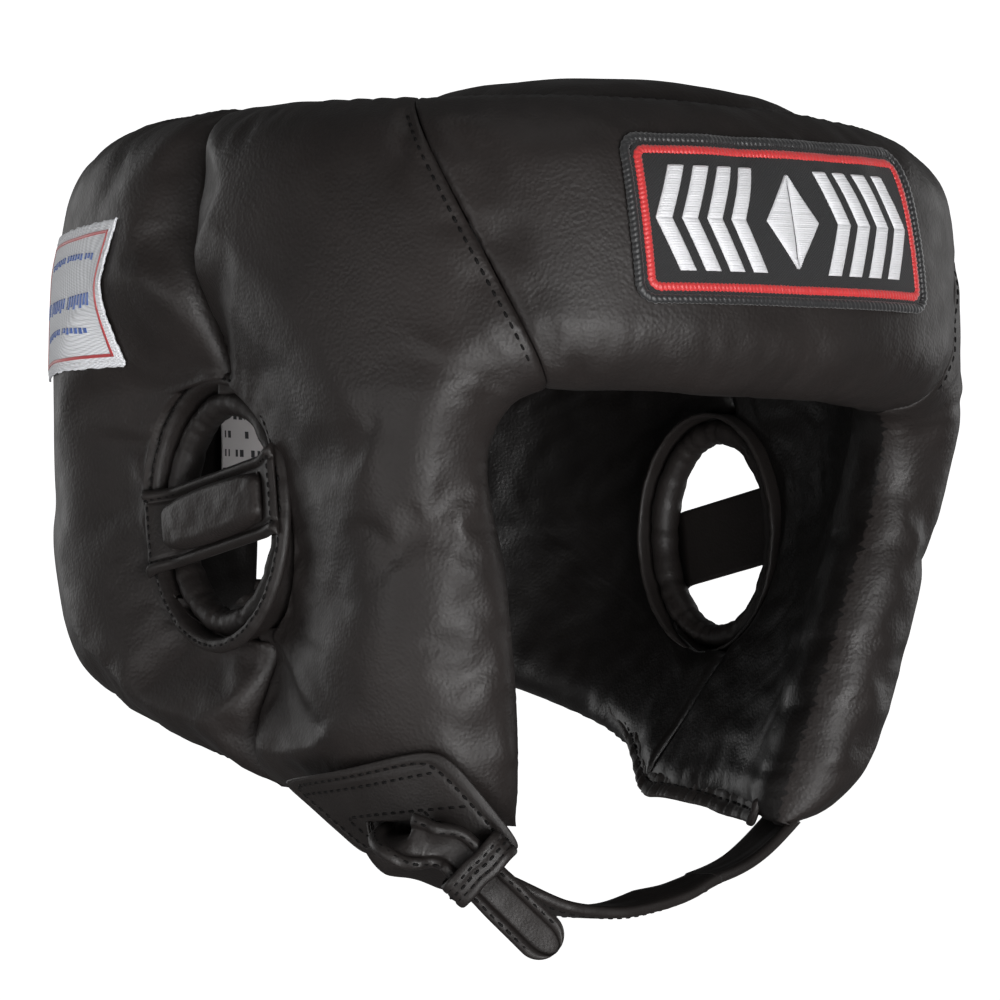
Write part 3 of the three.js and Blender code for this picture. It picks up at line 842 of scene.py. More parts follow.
def build_side_pads():
    nv = steps(205)
    front, back = face_line(nv), beside_valley(nv, True)
    brow = int(np.argmin(np.abs(front[:, 1] - BROW_Z)))
    ear = [i for i in range(nv) if abs(back[i, 1] - EAR_Z) < EAR_HALF_HEIGHT + 1]
    low, high = min(ear), max(ear) + 1
    pad = Pad(front, back, {
        "face": [("front", 0, brow + 1)], "seam": [("front", brow, None)],
        "lower": [("low", 0, None)], "rim": [("high", 0, None)],
        "valley": [("back", 0, low)], "valley_top": [("back", high, None)], "ear": [("back", low, high)],
    }, steps(105))
    edge, t = pad.edge, pad.thick
    outer = together(
        rolled(edge["face"][0], 19, t * 0.56), rolled(edge["lower"][0], 24, t * 0.62),
        rolled(edge["rim"][0], 21, t * 0.6), rolled(edge["seam"][0], 2.4, 1.5),
        rolled(edge["valley"][0], 18, 14), rolled(edge["valley_top"][0], 17, 14),
        sloped(edge["ear"][0], 40, t - 8.5), rolled(edge["ear"][0], 5, 3))
    inner = together(
        rolled(edge["face"][0], 13, t * 0.44), rolled(edge["lower"][0], 12, t * 0.36),
        rolled(edge["rim"][0], 14, t * 0.4), rolled(edge["seam"][0], 3.5, 1.5),
        rolled(np.minimum(edge["valley"][0], edge["valley_top"][0]), 4, 2), rolled(edge["ear"][0], 5, 2.5))
    corner = on_shell(33.0, 12.0, 6.0)
    ear_low = on_shell(78.0, -38.0, 14.0)
    crease = (
        gathers(edge["face"], 6.0, 15, 0.42, 13) + gathers(edge["lower"], 9.0, 16, 0.5, 17)
        + gathers(edge["rim"], 8.0, 12, 0.25, 19) + gathers(edge["ear"], 7.5, 17, 0.55, 23)
        + gathers(edge["valley"], 11, 14, 0.5, 27) + gathers(edge["valley_top"], 13, 12, 0.4, 29)
        + fan(pad.middle, corner, 9, 6, 46, 0.75, 31, corner * [1, -1, 0] + [0, 0, 6], 62)
        + fan(pad.middle, ear_low, 11, 4, 44, 0.8, 37, [-0.4, -1, -0.55], 48)
        + 0.5 * clouds(pad.middle, 34, 2, 41))
    lining = (gathers(edge["face"], 8, 18, 0.7, 43) + gathers(edge["lower"], 9, 14, 0.5, 47)
              + 0.8 * clouds(pad.middle, 28, 2, 51))
    padded_piece("side_pad", pad, outer, inner, crease, lining,
                 ["side_cover", "side_foam", "side_lining"], ["left", "right"])


def build_back_pads():
    nv = steps(190)
    front = beside_valley(nv, False)
    z = np.linspace(NAPE_Z, REAR_RIM_Z, nv)
    back = np.stack([np.full(nv, BACK_END), z], axis=1)
    ear = [i for i in range(nv) if abs(front[i, 1] - EAR_Z) < EAR_HALF_HEIGHT + 1]
    low, high = min(ear), max(ear) + 1
    pad = Pad(front, back, {
        "lower": [("low", 0, None)], "rim": [("high", 0, None)], "gap": [("back", 0, None)],
        "valley": [("front", 0, low)], "valley_top": [("front", high, None)], "ear": [("front", low, high)],
    }, steps(150))
    edge, t = pad.edge, pad.thick
    outer = together(
        rolled(edge["lower"][0], 22, t * 0.6), rolled(edge["rim"][0], 22, t * 0.6),
        rolled(edge["gap"][0], 14, t * 0.55), rolled(edge["valley"][0], 18, 14),
        rolled(edge["valley_top"][0], 20, 15),
        sloped(edge["ear"][0], 30, t - 8.5), rolled(edge["ear"][0], 5, 3))
    inner = together(
        rolled(edge["lower"][0], 12, t * 0.38), rolled(edge["rim"][0], 13, t * 0.4),
        rolled(edge["gap"][0], 10, t * 0.42),
        rolled(np.minimum(edge["valley"][0], edge["valley_top"][0]), 4, 2), rolled(edge["ear"][0], 5, 2.5))
    crease = (
        gathers(edge["lower"], 10, 16, 0.5, 57) + gathers(edge["rim"], 9, 14, 0.4, 59)
        + gathers(edge["ear"], 8, 16, 0.55, 61) + gathers(edge["valley"], 10, 14, 0.5, 63)
        + gathers(edge["valley_top"], 12, 14, 0.55, 67) + 0.6 * clouds(pad.middle, 34, 2, 71))
    lining = gathers(edge["lower"], 10, 14, 0.5, 73) + 0.8 * clouds(pad.middle, 28, 2, 77)
    padded_piece("back_pad", pad, outer, inner, crease, lining,
                 ["back_cover", "back_foam", "back_lining"], ["left", "right"])


# ---------------------------------------------------------------- trim helpers

def frames_along(path, across):
    """Along a path, the direction across it and the direction out of its face."""
    path = np.asarray(path, float)
    along = unit(np.gradient(path, axis=0))
    across = np.broadcast_to(np.asarray(across, float), path.shape)
    across = unit(across - along * (across * along).sum(-1, keepdims=True))
    return across, np.cross(across, along)


def tube_faces(n, m):
    """Faces of n rings of m points, closed at both ends."""
    i, j = np.meshgrid(np.arange(n - 1), np.arange(m), indexing="ij")
    a, b = (i * m + j).ravel(), (i * m + (j + 1) % m).ravel()
    faces = [tuple(f) for f in np.stack([a, b, b + m, a + m], axis=1)]
    faces.append(tuple(range(m - 1, -1, -1)))
    faces.append(tuple((n - 1) * m + k for k in range(m)))
    return faces


def sweep(path, across, profile, scale):
    """A closed body swept along a path. across gives the profile's first direction at each point."""
    across, out = frames_along(path, across)
    at = profile[None] * scale[:, None, :]
    rings = path[:, None] + at[..., :1] * across[:, None] + at[..., 1:] * out[:, None]
    return rings.reshape(-1, 3), tube_faces(*rings.shape[:2])


def loop_sweep(rings):
    """Points and faces of a ring of profiles, joined end to end."""
    n, m = rings.shape[:2]
    i, j = np.meshgrid(np.arange(n), np.arange(m), indexing="ij")
    a, b = (i * m + j).ravel(), (i * m + (j + 1) % m).ravel()
    c, d = (((i + 1) % n) * m + (j + 1) % m).ravel(), (((i + 1) % n) * m + j).ravel()
    return rings.reshape(-1, 3), np.stack([a, b, c, d], axis=1)


class Sewing:
    """Collects stitches and makes one piece of them."""

    def __init__(self):
        self.points, self.faces, self.count = [], [], 0

    def run(self, line, normals, gap=None, length=0.66, radius=0.42, sink=0.1):
        """Stitches along a line of points, lying on a surface with these normals."""
        gap = gap or settings()[2].stitch_gap / MM
        line = np.asarray(line, float)
        normals = np.broadcast_to(np.asarray(normals, float), line.shape)
        total = np.linalg.norm(np.diff(line, axis=0), axis=1).sum()
        n = max(2, int(round(total / gap)) + 1)
        both = evenly(np.hstack([line, normals]), n, line)
        points, up = both[:, :3], unit(both[:, 3:])
        start, end = points[:-1], points[1:]
        middle, half = (start + end) / 2, (end - start) / 2 * length
        lift = unit(up[:-1] + up[1:])
        side = unit(np.cross(lift, half))
        t = np.array([-1, -0.92, -0.6, 0, 0.6, 0.92, 1])
        size = np.array([0.05, 0.55, 0.95, 1, 0.95, 0.55, 0.05]) * radius
        dip = -0.45 * radius * t ** 4 - sink
        angle = np.linspace(0, 2 * math.pi, 6, endpoint=False)
        ring = (middle[:, None, None] + half[:, None, None] * t[None, :, None, None]
                + lift[:, None, None] * (dip[None, :, None, None]
                                         + (np.sin(angle)[None, None] * size[None, :, None])[..., None])
                + side[:, None, None] * (np.cos(angle)[None, None] * size[None, :, None])[..., None])
        each = len(t) * len(angle)
        one = tube_faces(len(t), len(angle))
        for k in range(len(ring)):
            base = self.count + k * each
            self.faces.extend(tuple(base + x for x in f) for f in one)
        self.points.append(ring.reshape(-1, 3))
        self.count += len(ring) * each

    def piece(self, name, body, slot, material=None, mirror=False, bend=None):
        return mesh_piece(name, np.vstack(self.points), self.faces, material or MATERIALS["thread"],
                          body, slot, mirror=mirror, bend=bend)


def surface_of(piece):
    return BVHTree.FromObject(piece, bpy.context.evaluated_depsgraph_get())


def dropped(tree, degrees, z, offset, mirror=False):
    """Points where rays at these angles meet a pad, lifted along the surface, with its normals."""
    degrees, z = np.broadcast_arrays(np.asarray(degrees, float), np.asarray(z, float))
    points, normals = np.empty(degrees.shape + (3,)), np.empty(degrees.shape + (3,))
    for i in np.ndindex(degrees.shape):
        a = math.radians(degrees[i]) * (-1 if mirror else 1)
        aim = Vector((math.sin(a), -math.cos(a), 0))
        hit, normal, _, _ = tree.ray_cast(aim * 0.22 + Vector((0, 0, z[i] * MM)), -aim)
        if hit is None:
            raise RuntimeError(f"no pad at {degrees[i]:.0f} degrees, {z[i]:.0f} mm")
        points[i], normals[i] = np.array(hit) / MM, np.array(normal)
    if degrees.ndim == 2:
        for _ in range(6):
            for grid in (points, normals):
                grid[1:-1, 1:-1] = (grid[:-2, 1:-1] + grid[2:, 1:-1] + grid[1:-1, :-2] + grid[1:-1, 2:]) / 4
        normals = unit(normals)
    return points + normals * np.asarray(offset)[..., None], normals


# ---------------------------------------------------------------- ears

def ear_place(w, h, out):
    """A point of the left ear: w toward the back, h up the tilted opening, out from the head's middle."""
    w, h, out = np.broadcast_arrays(w, h, out)
    y = EAR_Y + w * math.cos(EAR_TILT) + h * math.sin(EAR_TILT)
    z = EAR_Z - w * math.sin(EAR_TILT) + h * math.cos(EAR_TILT)
    return np.stack([out, y, z], axis=-1)


def ear_profile_ring(half_width, half_height, profile, count=168, pucker=0.0, waves=46, seed=5):
    """A profile of (outward from the ellipse, out from the head) carried round the ear."""
    angle = np.linspace(0, 2 * math.pi, count, endpoint=False)[:, None]
    profile = np.asarray(profile, float)
    off, out = profile[None, :, 0], profile[None, :, 1]
    nx, nz = np.cos(angle) * half_height, np.sin(angle) * half_width
    length = np.hypot(nx, nz)
    w = half_width * np.cos(angle) + off * nx / length
    h = half_height * np.sin(angle) + off * nz / length
    middle = profile.mean(0)
    away = unit(profile - middle)
    fold = pucker * (1.7 * noise(np.cos(angle) * waves / 5, np.sin(angle) * waves / 5, 0, seed)
                     + 0.22 * np.cos(angle * waves))
    w = w + fold * away[None, :, 0] * nx / length
    h = h + fold * away[None, :, 0] * nz / length
    return ear_place(w, h, out + fold * away[None, :, 1])


def build_ears():
    facing = rounded_profile([
        (-1.3, 73.6), (-1.3, 78), (-1.2, 83), (-0.7, 85.4), (0.4, 86.1), (1.6, 85.9), (2.5, 85.1),
        (2.7, 83.9), (1.9, 83.2), (0.8, 83.4), (0.1, 82), (-0.1, 78), (-0.1, 73.6)], 54)
    points, faces = loop_sweep(ear_profile_ring(29.9, 33.4, facing, 200, 0.14, 60, 7))
    both_sides("ear_facing", points, faces, MATERIALS["strap"], SHELL, "strap_leather", ["ear_facing"])
    roll = [(3.4 * math.cos(a), 79.6 + 4.0 * math.sin(a)) for a in np.linspace(0, 2 * math.pi, 26)[:-1]]
    points, faces = loop_sweep(ear_profile_ring(25.0, 28.4, roll, 300, 0.2, 44, 11))
    both_sides("ear_ring", points, faces, MATERIALS["strap"], SHELL, "strap_leather", ["ear_ring"])

    # The bridge lies over the ring and is sewn down on the facing at both ends.
    u, v = np.linspace(-1, 1, 90)[:, None], np.linspace(-1, 1, 60)[None]
    w = u * 30.6
    height = 10.5 + 1.2 * u ** 8
    h = v * height
    bow = 84.0 + 3.1 * smooth((np.abs(w) - 19) / 11)
    hem = 0.9 * np.exp(-((np.abs(v) - 0.86) / 0.11) ** 2)
    waist = -0.5 * np.exp(-((np.abs(v) - 0.70) / 0.05) ** 2)
    top = bow + 0.9 + hem + waist + 0.12 * noise(w / 5, h / 4, 0, 3)
    edge = np.maximum(smooth((np.abs(u) - 0.95) / 0.05), smooth((np.abs(v) - 0.93) / 0.07))
    top = top - 0.7 * edge
    under = np.broadcast_to(bow - 0.9, top.shape) + 0.5 * edge
    points, faces = closed_sheet(ear_place(w, h, top), ear_place(w, h, under))
    both_sides("ear_bridge", points, faces, MATERIALS["strap"], SHELL, "strap_leather", ["ear_bridge"])

    a, b = np.meshgrid(np.linspace(-1, 1, 80), np.linspace(-1, 1, 44), indexing="ij")
    corner = 0.20
    rounding = np.minimum(1, (np.abs(a) ** 7 + np.abs(b) ** 7) ** (1 / 7) + 1e-9)
    pull = 1 - corner * np.maximum(0, np.abs(a * b) - 0.5) ** 1.4
    w, h = a * 22.6 * pull, b * 7.2 * pull * (1 + 0.05 * np.cos(a * 3))
    crown = np.sqrt(np.maximum(0, 1 - np.maximum(0, (rounding - 0.62) / 0.38) ** 2))
    base = 84.4 + 2.1 * smooth((np.abs(w) - 17) / 9)
    swell = 3.6 * crown + 0.5 * (1 - b ** 2) + 0.22 * noise(w / 4, h / 3, 0, 8) * (1 - rounding ** 8)
    points, faces = closed_sheet(ear_place(w, h, base + 0.4 + swell), ear_place(w, h, base))
    for piece in both_sides("ear_bridge_pad", points, faces, MATERIALS["cover"], SHELL, "cover_leather",
                            ["ear_bridge_pad"]):
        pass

    sewing = Sewing()
    out = np.array([1.0, 0, 0])
    t = np.linspace(-1, 1, 90)
    lift = 84.0 + 3.1 * smooth((np.abs(t * 30) - 19) / 11)
    for row in (-8.35, 8.35):
        sewing.run(ear_place(t * 30, row + 0 * t, lift + 1.15), out, 2.4, radius=0.36)
    for end in (-28.8, 28.4):
        sewing.run(ear_place(end + 0 * t, t * 9.6, 88.0 + 0 * t), out, 2.4, radius=0.36)
    angle = np.linspace(0, 2 * math.pi, 240)
    flange = ear_place(30.8 * np.cos(angle), 34.3 * np.sin(angle), 86.1 + 0 * angle)
    sewing.run(flange, out, 2.6, radius=0.38)
    for side in ("left", "right"):
        sewing.piece(f"{side}_ear_stitching", SHELL, "strap_leather", mirror=side == "right")


# ---------------------------------------------------------------- crown

def dome(x, y):
    return 101 - 7 * (y / 86) ** 4 - 9 * (x / 60) ** 2


def crown_plan(end_y, count=64, rows=70):
    """Plan of a crown flap, from the shell's inner wall to its end near the middle."""
    u = np.linspace(-1, 1, count)[:, None]
    v = np.linspace(0, 1, rows)[None]
    wall = on_shell(30.0 * u[:, 0], RIM_Z, 28.6)
    x = mix(wall[:, None, 0], 40 * u, v)
    y = mix(wall[:, None, 1], -abs(end_y) + 0 * u, v)
    bow = 3.0 * (1 - u ** 2) * v
    return x, y + bow, u, v


FLAP_LENGTH = 66


def build_crown():
    for name, end_y, body, seed in (("front", -16, CROWN, 81), ("rear", 14, SHELL, 87)):
        x, y, u, v = crown_plan(end_y)
        side = (1 - np.abs(u)) * 42
        wall, end = v * FLAP_LENGTH, (1 - v) * FLAP_LENGTH
        side, end, wall = side + 0 * v, end + 0 * u, wall + 0 * u
        top = together(rolled(side, 11, 5.0), rolled(end, 11, 5.0), rolled(wall, 7, 3.0))
        under = together(rolled(side, 7, 3.4), rolled(end, 7, 3.4), rolled(wall, 5, 2.4))
        facing = 1 if end_y < 0 else -1  # the rear flap is the front one turned round
        where = np.stack([x, y, 0 * x], axis=-1)
        puckers = noise(x / 6, y / 18, 0, seed + 3) * np.exp(-wall / 14)
        swell = 0.5 * clouds(where, 26, 2, seed) + 0.3 * puckers
        z = dome(x, y) + 0.8
        face = np.stack([facing * x, facing * y, z - top + swell], axis=-1)
        back = np.stack([facing * x, facing * y, z - 9.6 + under + 0.4 * swell], axis=-1)
        points, faces = closed_sheet(face, back)
        piece = mesh_piece(f"crown_{name}_pad", points, faces, MATERIALS["cover"], body, "cover_leather",
                           [f"crown_{name}_{layer}" for layer in ("cover", "foam", "lining")])
        sewing = Sewing()
        sewn_row = int(round((1 - 5.2 / FLAP_LENGTH) * (x.shape[1] - 1)))
        sewing.run(face[4:-4, sewn_row], (0, 0, 1), radius=0.45)
        sewing.piece(f"crown_{name}_stitching", body, "cover_leather")
    crown_strip("crown_loop_tape", 18, -62, -22, 9.95, 0.9, "loop", CROWN)
    crown_strip("crown_hook_tape", 18, -60, -24, 11.3, 0.9, "hook", SHELL)
    crown_strip("crown_tongue", 22, -62, 60, 12.8, 1.8, "strap", SHELL)


def crown_strip(name, half_width, from_y, to_y, depth, thick, look, body):
    a = np.linspace(-1, 1, 50)[:, None]
    y = np.linspace(from_y, to_y, max(30, int((to_y - from_y) / 1.2)))[None]
    tip = np.sqrt(np.clip((y - from_y) / (6 if look == "strap" else 2), 0.02, 1))
    x = a * half_width * (0.86 + 0.14 * tip)
    y = y + 0 * a
    edge = 0.35 * smooth((np.abs(a) - 0.93) / 0.07) * thick
    z = dome(x, y) - depth
    slot = "strap_leather" if look == "strap" else "hook_and_loop"
    points, faces = closed_sheet(
        np.stack([x, y, z - edge], axis=-1), np.stack([x, y, z - thick + edge], axis=-1))
    mesh_piece(name, points, faces, MATERIALS[look], body, slot, [name])


# ---------------------------------------------------------------- rear closure

def wrap(name, degrees, low, high, offset, thick, look, body, slot, round_end=False):
    """A strip round the back of the shell, standing off the plain shell by offset millimetres."""
    columns = max(30, int((degrees[1] - degrees[0]) * 2.2))
    a = np.linspace(*degrees, columns)[:, None]
    t = np.linspace(-1, 1, 60)[None]
    half, middle = (high - low) / 2, (high + low) / 2
    share = np.ones_like(a)
    if round_end:
        past = np.clip((degrees[0] + 6 - a) / 6.4, 0, 1)
        share = np.sqrt(np.clip(1 - past ** 2, 0.02, 1)) * 0.35 + 0.65
    z = middle + half * t * share
    a = a + 0 * t
    edge = thick * 0.3 * smooth((np.abs(t) - 0.94) / 0.06) + 0 * a
    lift = offset + 0.15 * noise(a / 4, z / 9, 0, 31)
    outer, inner = on_shell(a, z, -(lift + thick) + edge), on_shell(a, z, -lift - edge)
    mesh_piece(name, *closed_sheet(outer, inner), MATERIALS[look], body, slot, [name])
    return outer


def sew_strip(name, face, start, columns, body):
    """Stitches along both long edges of a strip and across it at these columns."""
    sewing = Sewing()
    lines = [face[start:-4, row] for row in (5, -6)] + [face[column, 6:-6] for column in columns]
    for line in lines:
        sewing.run(line, unit(line * [1, 1, 0]), 3.0)
    sewing.piece(name, body, "strap_leather")


def build_rear_closure():
    wrap("rear_loop_tape", (148, 171), -4, 40, 0.6, 0.9, "loop", SHELL, "hook_and_loop")
    wrap("rear_hook_tape", (150, 170), 0, 36, 1.8, 0.9, "hook", CLOSURE, "hook_and_loop")
    strap = wrap("rear_strap", (148, 188.6), -3, 39, 3.0, 2.0, "strap", CLOSURE, "strap_leather", True)
    anchor = wrap("rear_strap_anchor", (187.4, 214), -5, 41, 0.6, 2.4, "strap", SHELL, "strap_leather")
    sew_strip("rear_strap_stitching", strap, 6, (6, -8), CLOSURE)
    sew_strip("rear_anchor_stitching", anchor, 3, (4, 8, -6, -10), SHELL)


# ---------------------------------------------------------------- badges

def build_patch():
    tree = surface_of(bpy.data.objects["forehead_pad"])
    half_s, half_t, mid_deg, mid_z = 44.6, 20.1, -0.2, 58.0
    per_degree = 89.2 / 42.5  # millimetres along the brow
    corner, margin = 4.2, 3
    columns, rows = 91, 41

    def place(s, t, offset):
        """A point of the patch, s to the wearer's left and t up, in millimetres."""
        points, normals = base_at(s - 1.8 * t / half_t, t + 1.5 * s / half_s - 0.6)
        return points + normals * np.asarray(offset)[..., None], normals

    grid_s, grid_t = np.meshgrid(np.linspace(-1, 1, columns) * (half_s + margin),
                                 np.linspace(-1, 1, rows) * (half_t + margin), indexing="ij")
    base, base_normal = dropped(tree, mid_deg + grid_s / per_degree, mid_z + grid_t, 0 * grid_s)

    def base_at(s, t):
        """The forehead's surface and its normal under the patch."""
        fi = np.clip((s / (half_s + margin) + 1) / 2 * (columns - 1), 0, columns - 1.001)
        fj = np.clip((t / (half_t + margin) + 1) / 2 * (rows - 1), 0, rows - 1.001)
        return read_grid(base, fi, fj), unit(read_grid(base_normal, fi, fj))

    def outline(inset, count=520):
        """The patch's rounded outline, drawn in by inset millimetres."""
        a, b, r = half_s - inset, half_t - inset, max(corner - inset * 0.6, 1.2)
        corners = [(a - r, b - r, 0), (-a + r, b - r, 90), (-a + r, -b + r, 180), (a - r, -b + r, 270)]
        ring = []
        for cx, cy, start in corners:
            for k in np.radians(np.linspace(start, start + 90, 14)):
                ring.append((cx + r * math.cos(k), cy + r * math.sin(k)))
        ring.append(ring[0])
        return evenly(np.array(ring), count + 1)[:-1]

    # Twill ground
    u, v = np.meshgrid(np.linspace(-1, 1, 170), np.linspace(-1, 1, 74), indexing="ij")
    far = np.maximum(np.abs(u), np.abs(v))
    soften = 1 - 0.045 * smooth((np.abs(u) - 0.86) / 0.14) * smooth((np.abs(v) - 0.7) / 0.3)
    s, t = u * (half_s - 0.8) * soften, v * (half_t - 0.8) * soften
    top, _ = place(s, t, 1.15 - 0.2 * smooth((far - 0.97) / 0.03))
    under, _ = place(s, t, 0.25 + 0 * s)
    points, faces = closed_sheet(top, under)
    patch = mesh_piece("forehead_patch", points, faces, MATERIALS["twill"], SHELL, "patch_twill",
                       ["forehead_patch"])

    def cord_ring(name, inset, half, tall, ribs, look, lean):
        """Satin thread wound round an outline, with a rib for each turn."""
        count = int(ribs * 4)
        ring = outline(inset, count)
        ahead = unit(np.roll(ring, -1, 0) - np.roll(ring, 1, 0))
        side = np.stack([ahead[:, 1], -ahead[:, 0]], axis=1)
        angle = np.linspace(0, 2 * math.pi, 15)[:-1]
        turns = np.arange(count)[:, None]
        rib = 0.10 * np.cos(turns * math.pi / 2) + 0.05 * noise(turns / 2.3, 0, 0, 5)
        across = np.cos(angle)[None] * (half + rib)
        up = np.sin(angle)[None] * (tall + rib)
        slide = lean * np.cos(angle)[None]
        s = ring[:, None, 0] + side[:, None, 0] * across + ahead[:, None, 0] * slide
        t = ring[:, None, 1] + side[:, None, 1] * across + ahead[:, None, 1] * slide
        rings, _ = place(s, t, 1.0 + up)
        points, faces = loop_sweep(rings)
        return mesh_piece(name, points, faces[:, ::-1], MATERIALS[look], SHELL, "patch_twill")

    trims = [cord_ring("patch_edge", 0.6, 1.15, 0.95, 190, "black_satin", 0.5),
             cord_ring("patch_red_border", 3.5, 1.05, 0.62, 210, "red_satin", 0.25)]

    def satin(name, strips, look="white_satin"):
        """Raised satin stitching over four-sided strips, each given by two edges."""
        all_points, all_faces, start = [], [], 0
        for edge_a, edge_b in strips:
            a, b = np.asarray(edge_a, float), np.asarray(edge_b, float)
            n = max(8, int(max(distance_along(a)[-1], distance_along(b)[-1]) / 0.21))
            a, b = evenly(a, n), evenly(b, n)
            w = np.linspace(0, 1, 15)[None, :, None]
            plan = mix(a[:, None], b[:, None], w)
            cross = np.linspace(-1, 1, 15)[None]
            turns = np.arange(n)[:, None]
            rib = 0.13 * np.cos(turns * 2.1) + 0.10 * noise(turns / 2.6, 0, 0, 9)
            ends = smooth(np.minimum(turns, turns[::-1]) / 2.5)
            tall = (0.62 * (1 - np.abs(cross) ** 2.6) + rib * (1 - cross ** 6)) * (0.4 + 0.6 * ends)
            top, _ = place(plan[..., 0], plan[..., 1], 1.22 + tall)
            under, _ = place(plan[..., 0], plan[..., 1], 1.0 + 0 * tall)
            points, faces = closed_sheet(top, under)
            all_points.append(points)
            all_faces.append(faces + start)
            start += len(points)
        return mesh_piece(
            name, np.vstack(all_points), np.vstack(all_faces), MATERIALS[look], SHELL, "patch_twill")

    strips = []
    tall = half_t - 7.4
    for k in range(4):
        for way in (-1, 1):
            near, wide, point = way * (9.4 + k * 6.7), way * 4.2, way * 5.0
            for up in (-1, 1):
                strips.append(([(near, up * tall), (near + point, 0)],
                               [(near + wide, up * tall), (near + wide + point, 0)]))
    for way in (-1, 1):
        strips.append(([(0.15 * way, -tall * 0.9), (0.15 * way, 0), (0.15 * way, tall * 0.9)],
                       [(0.3 * way, -tall * 0.9), (8.2 * way, 0), (0.3 * way, tall * 0.9)]))
    trims.append(satin("patch_motif", strips))


def build_size_label():
    tree = surface_of(bpy.data.objects["right_back_pad"])
    u, v = np.meshgrid(np.linspace(0, 1, 90), np.linspace(0, 1, 76), indexing="ij")
    fray = 0.35 * noise(v * 40, 0, 0, 3) * (u > 0.98) - 0.35 * noise(v * 40, 0, 0, 4) * (u < 0.02)
    degrees = 102.6 + 7.4 * (1 - v) + 26.0 * u + fray * 0.4
    z = 29.5 + 36 * v + 0.2 * noise(u * 40, 0, 0, 6) * ((v > 0.98) | (v < 0.02))
    bulge = 0.5 + 0.35 * noise(u * 5, v * 4, 0, 12)
    top, _ = dropped(tree, degrees, z, bulge + 0.55, mirror=True)
    under, _ = dropped(tree, degrees, z, bulge, mirror=True)
    points, faces = closed_sheet(top, under)
    label = mesh_piece("size_label", points, faces[:, ::-1], MATERIALS["size_label"], SHELL,
                       "woven_label", ["size_label"])
    threads = []

    def bar(a0, a1, z0, z1, look, wave=0.0):
        """A woven bar on the label's face, from a0 to a1 along it and z0 to z1 up it."""
        n, m = max(4, int(abs(a1 - a0) * 110)), max(4, int(abs(z1 - z0) * 90))
        a, b = np.meshgrid(np.linspace(a0, a1, n), np.linspace(z0, z1, m), indexing="ij")
        up = b + wave * np.sin(a * 3.14)
        last_u, last_v = top.shape[0] - 1, top.shape[1] - 1
        on = read_grid(top, np.clip(a * last_u, 0, last_u - 0.01), np.clip(up * last_v, 0, last_v - 0.01))
        out = unit(on * [1, 1, 0])
        threads.append((look, closed_sheet(on + out * 0.16, on - out * 0.1)))

    for edge in (0.07, 0.91):
        bar(0.05, 0.95, edge, edge + 0.022, "label_red")
    for edge in (0.05, 0.935):
        bar(edge, edge + 0.016, 0.07, 0.932, "label_red")
    rows = (
        (0.74, 0.040, 0.05, [(0.16, 0.26), (0.30, 0.52), (0.56, 0.84)]),
        (0.47, 0.085, 0.0, [(0.14, 0.42), (0.47, 0.72), (0.77, 0.88)]),
        (0.23, 0.040, 0.05, [(0.20, 0.44), (0.49, 0.80)]),
    )
    for middle, height, wave, spans in rows:
        for start, end in spans:
            k = start
            while k < end:
                foot = middle - height / 2 * (1 + 0.3 * math.sin(k * 90))
                bar(k, min(k + 0.026, end), foot, middle + height / 2, "label_blue", wave)
                k += 0.040
    for look in ("label_red", "label_blue"):
        points, faces, start = [], [], 0
        for kind, (p, f) in threads:
            if kind == look:
                points.append(p)
                faces.append(f[:, ::-1] + start)
                start += len(p)
        mesh_piece(
            f"size_{look}", np.vstack(points), np.vstack(faces), MATERIALS[look], SHELL, "woven_label")
    sewing = Sewing()
    for line in (top[3:-3, 3], top[3:-3, -4], top[3, 3:-3], top[-4, 3:-3]):
        sewing.run(line, unit(line * [1, 1, 0]), 2.4, radius=0.28)
    sewing.piece("size_label_stitching", SHELL, "woven_label", MATERIALS["white_satin"])


def build_care_label():
    """The care label hangs inside the back, with its print as short plain dashes."""
    u, v = np.meshgrid(np.linspace(0, 1, 40), np.linspace(0, 1, 46), indexing="ij")
    x = mix(-28, -1, u)
    z = mix(2, 34, v)
    y = mix(93.8, 96.4, u) - 0.9 - 1.2 * np.sin(u * 3.0) * (1 - v) - 0.5 * np.sin(v * 5)
    front = np.stack([x, y, z], axis=-1)
    points, faces = closed_sheet(front, front + [0, 0.5, 0])
    label = mesh_piece("care_label", points, faces, MATERIALS["care_label"], SHELL, "woven_label",
                       ["care_label"])


# ---------------------------------------------------------------- lower bindings

def build_lower_bindings():
    a = np.linspace(35.5, 176, 330)[:, None]
    section = rounded_profile([
        (-3.4, 0.0), (-3.6, 1.0), (-3.0, 1.9), (-1.5, 2.1), (0, 1.7), (1.6, 2.1), (3.0, 1.9), (3.6, 1.0),
        (3.4, 0.0), (0, -0.2)], 34)
    edge = lower_edge(a)
    fold = 0.22 * noise(a * 0.9, 0, 0, 5)
    z = edge + 3.4 + section[None, :, 0] + 0.5 * noise(a * 0.12, 0, 0, 8)
    depth = thickness(a) - 3.6 + section[None, :, 1] * (1 + fold)
    rings = on_shell(a, z, depth + 0 * z)
    both_sides("lower_binding", rings.reshape(-1, 3), tube_faces(*rings.shape[:2]), MATERIALS["strap"],
               SHELL, "strap_leather", ["lower_binding"])
    sewing = Sewing()
    line = on_shell(a[:, 0], lower_edge(a[:, 0]) + 3.4, thickness(a[:, 0]) - 3.6 + 1.9)
    sewing.run(line, unit(line * [-1, -1, 0]), 3.2)
    for side in ("left", "right"):
        sewing.piece(f"{side}_binding_stitching", SHELL, "strap_leather", mirror=side == "right")


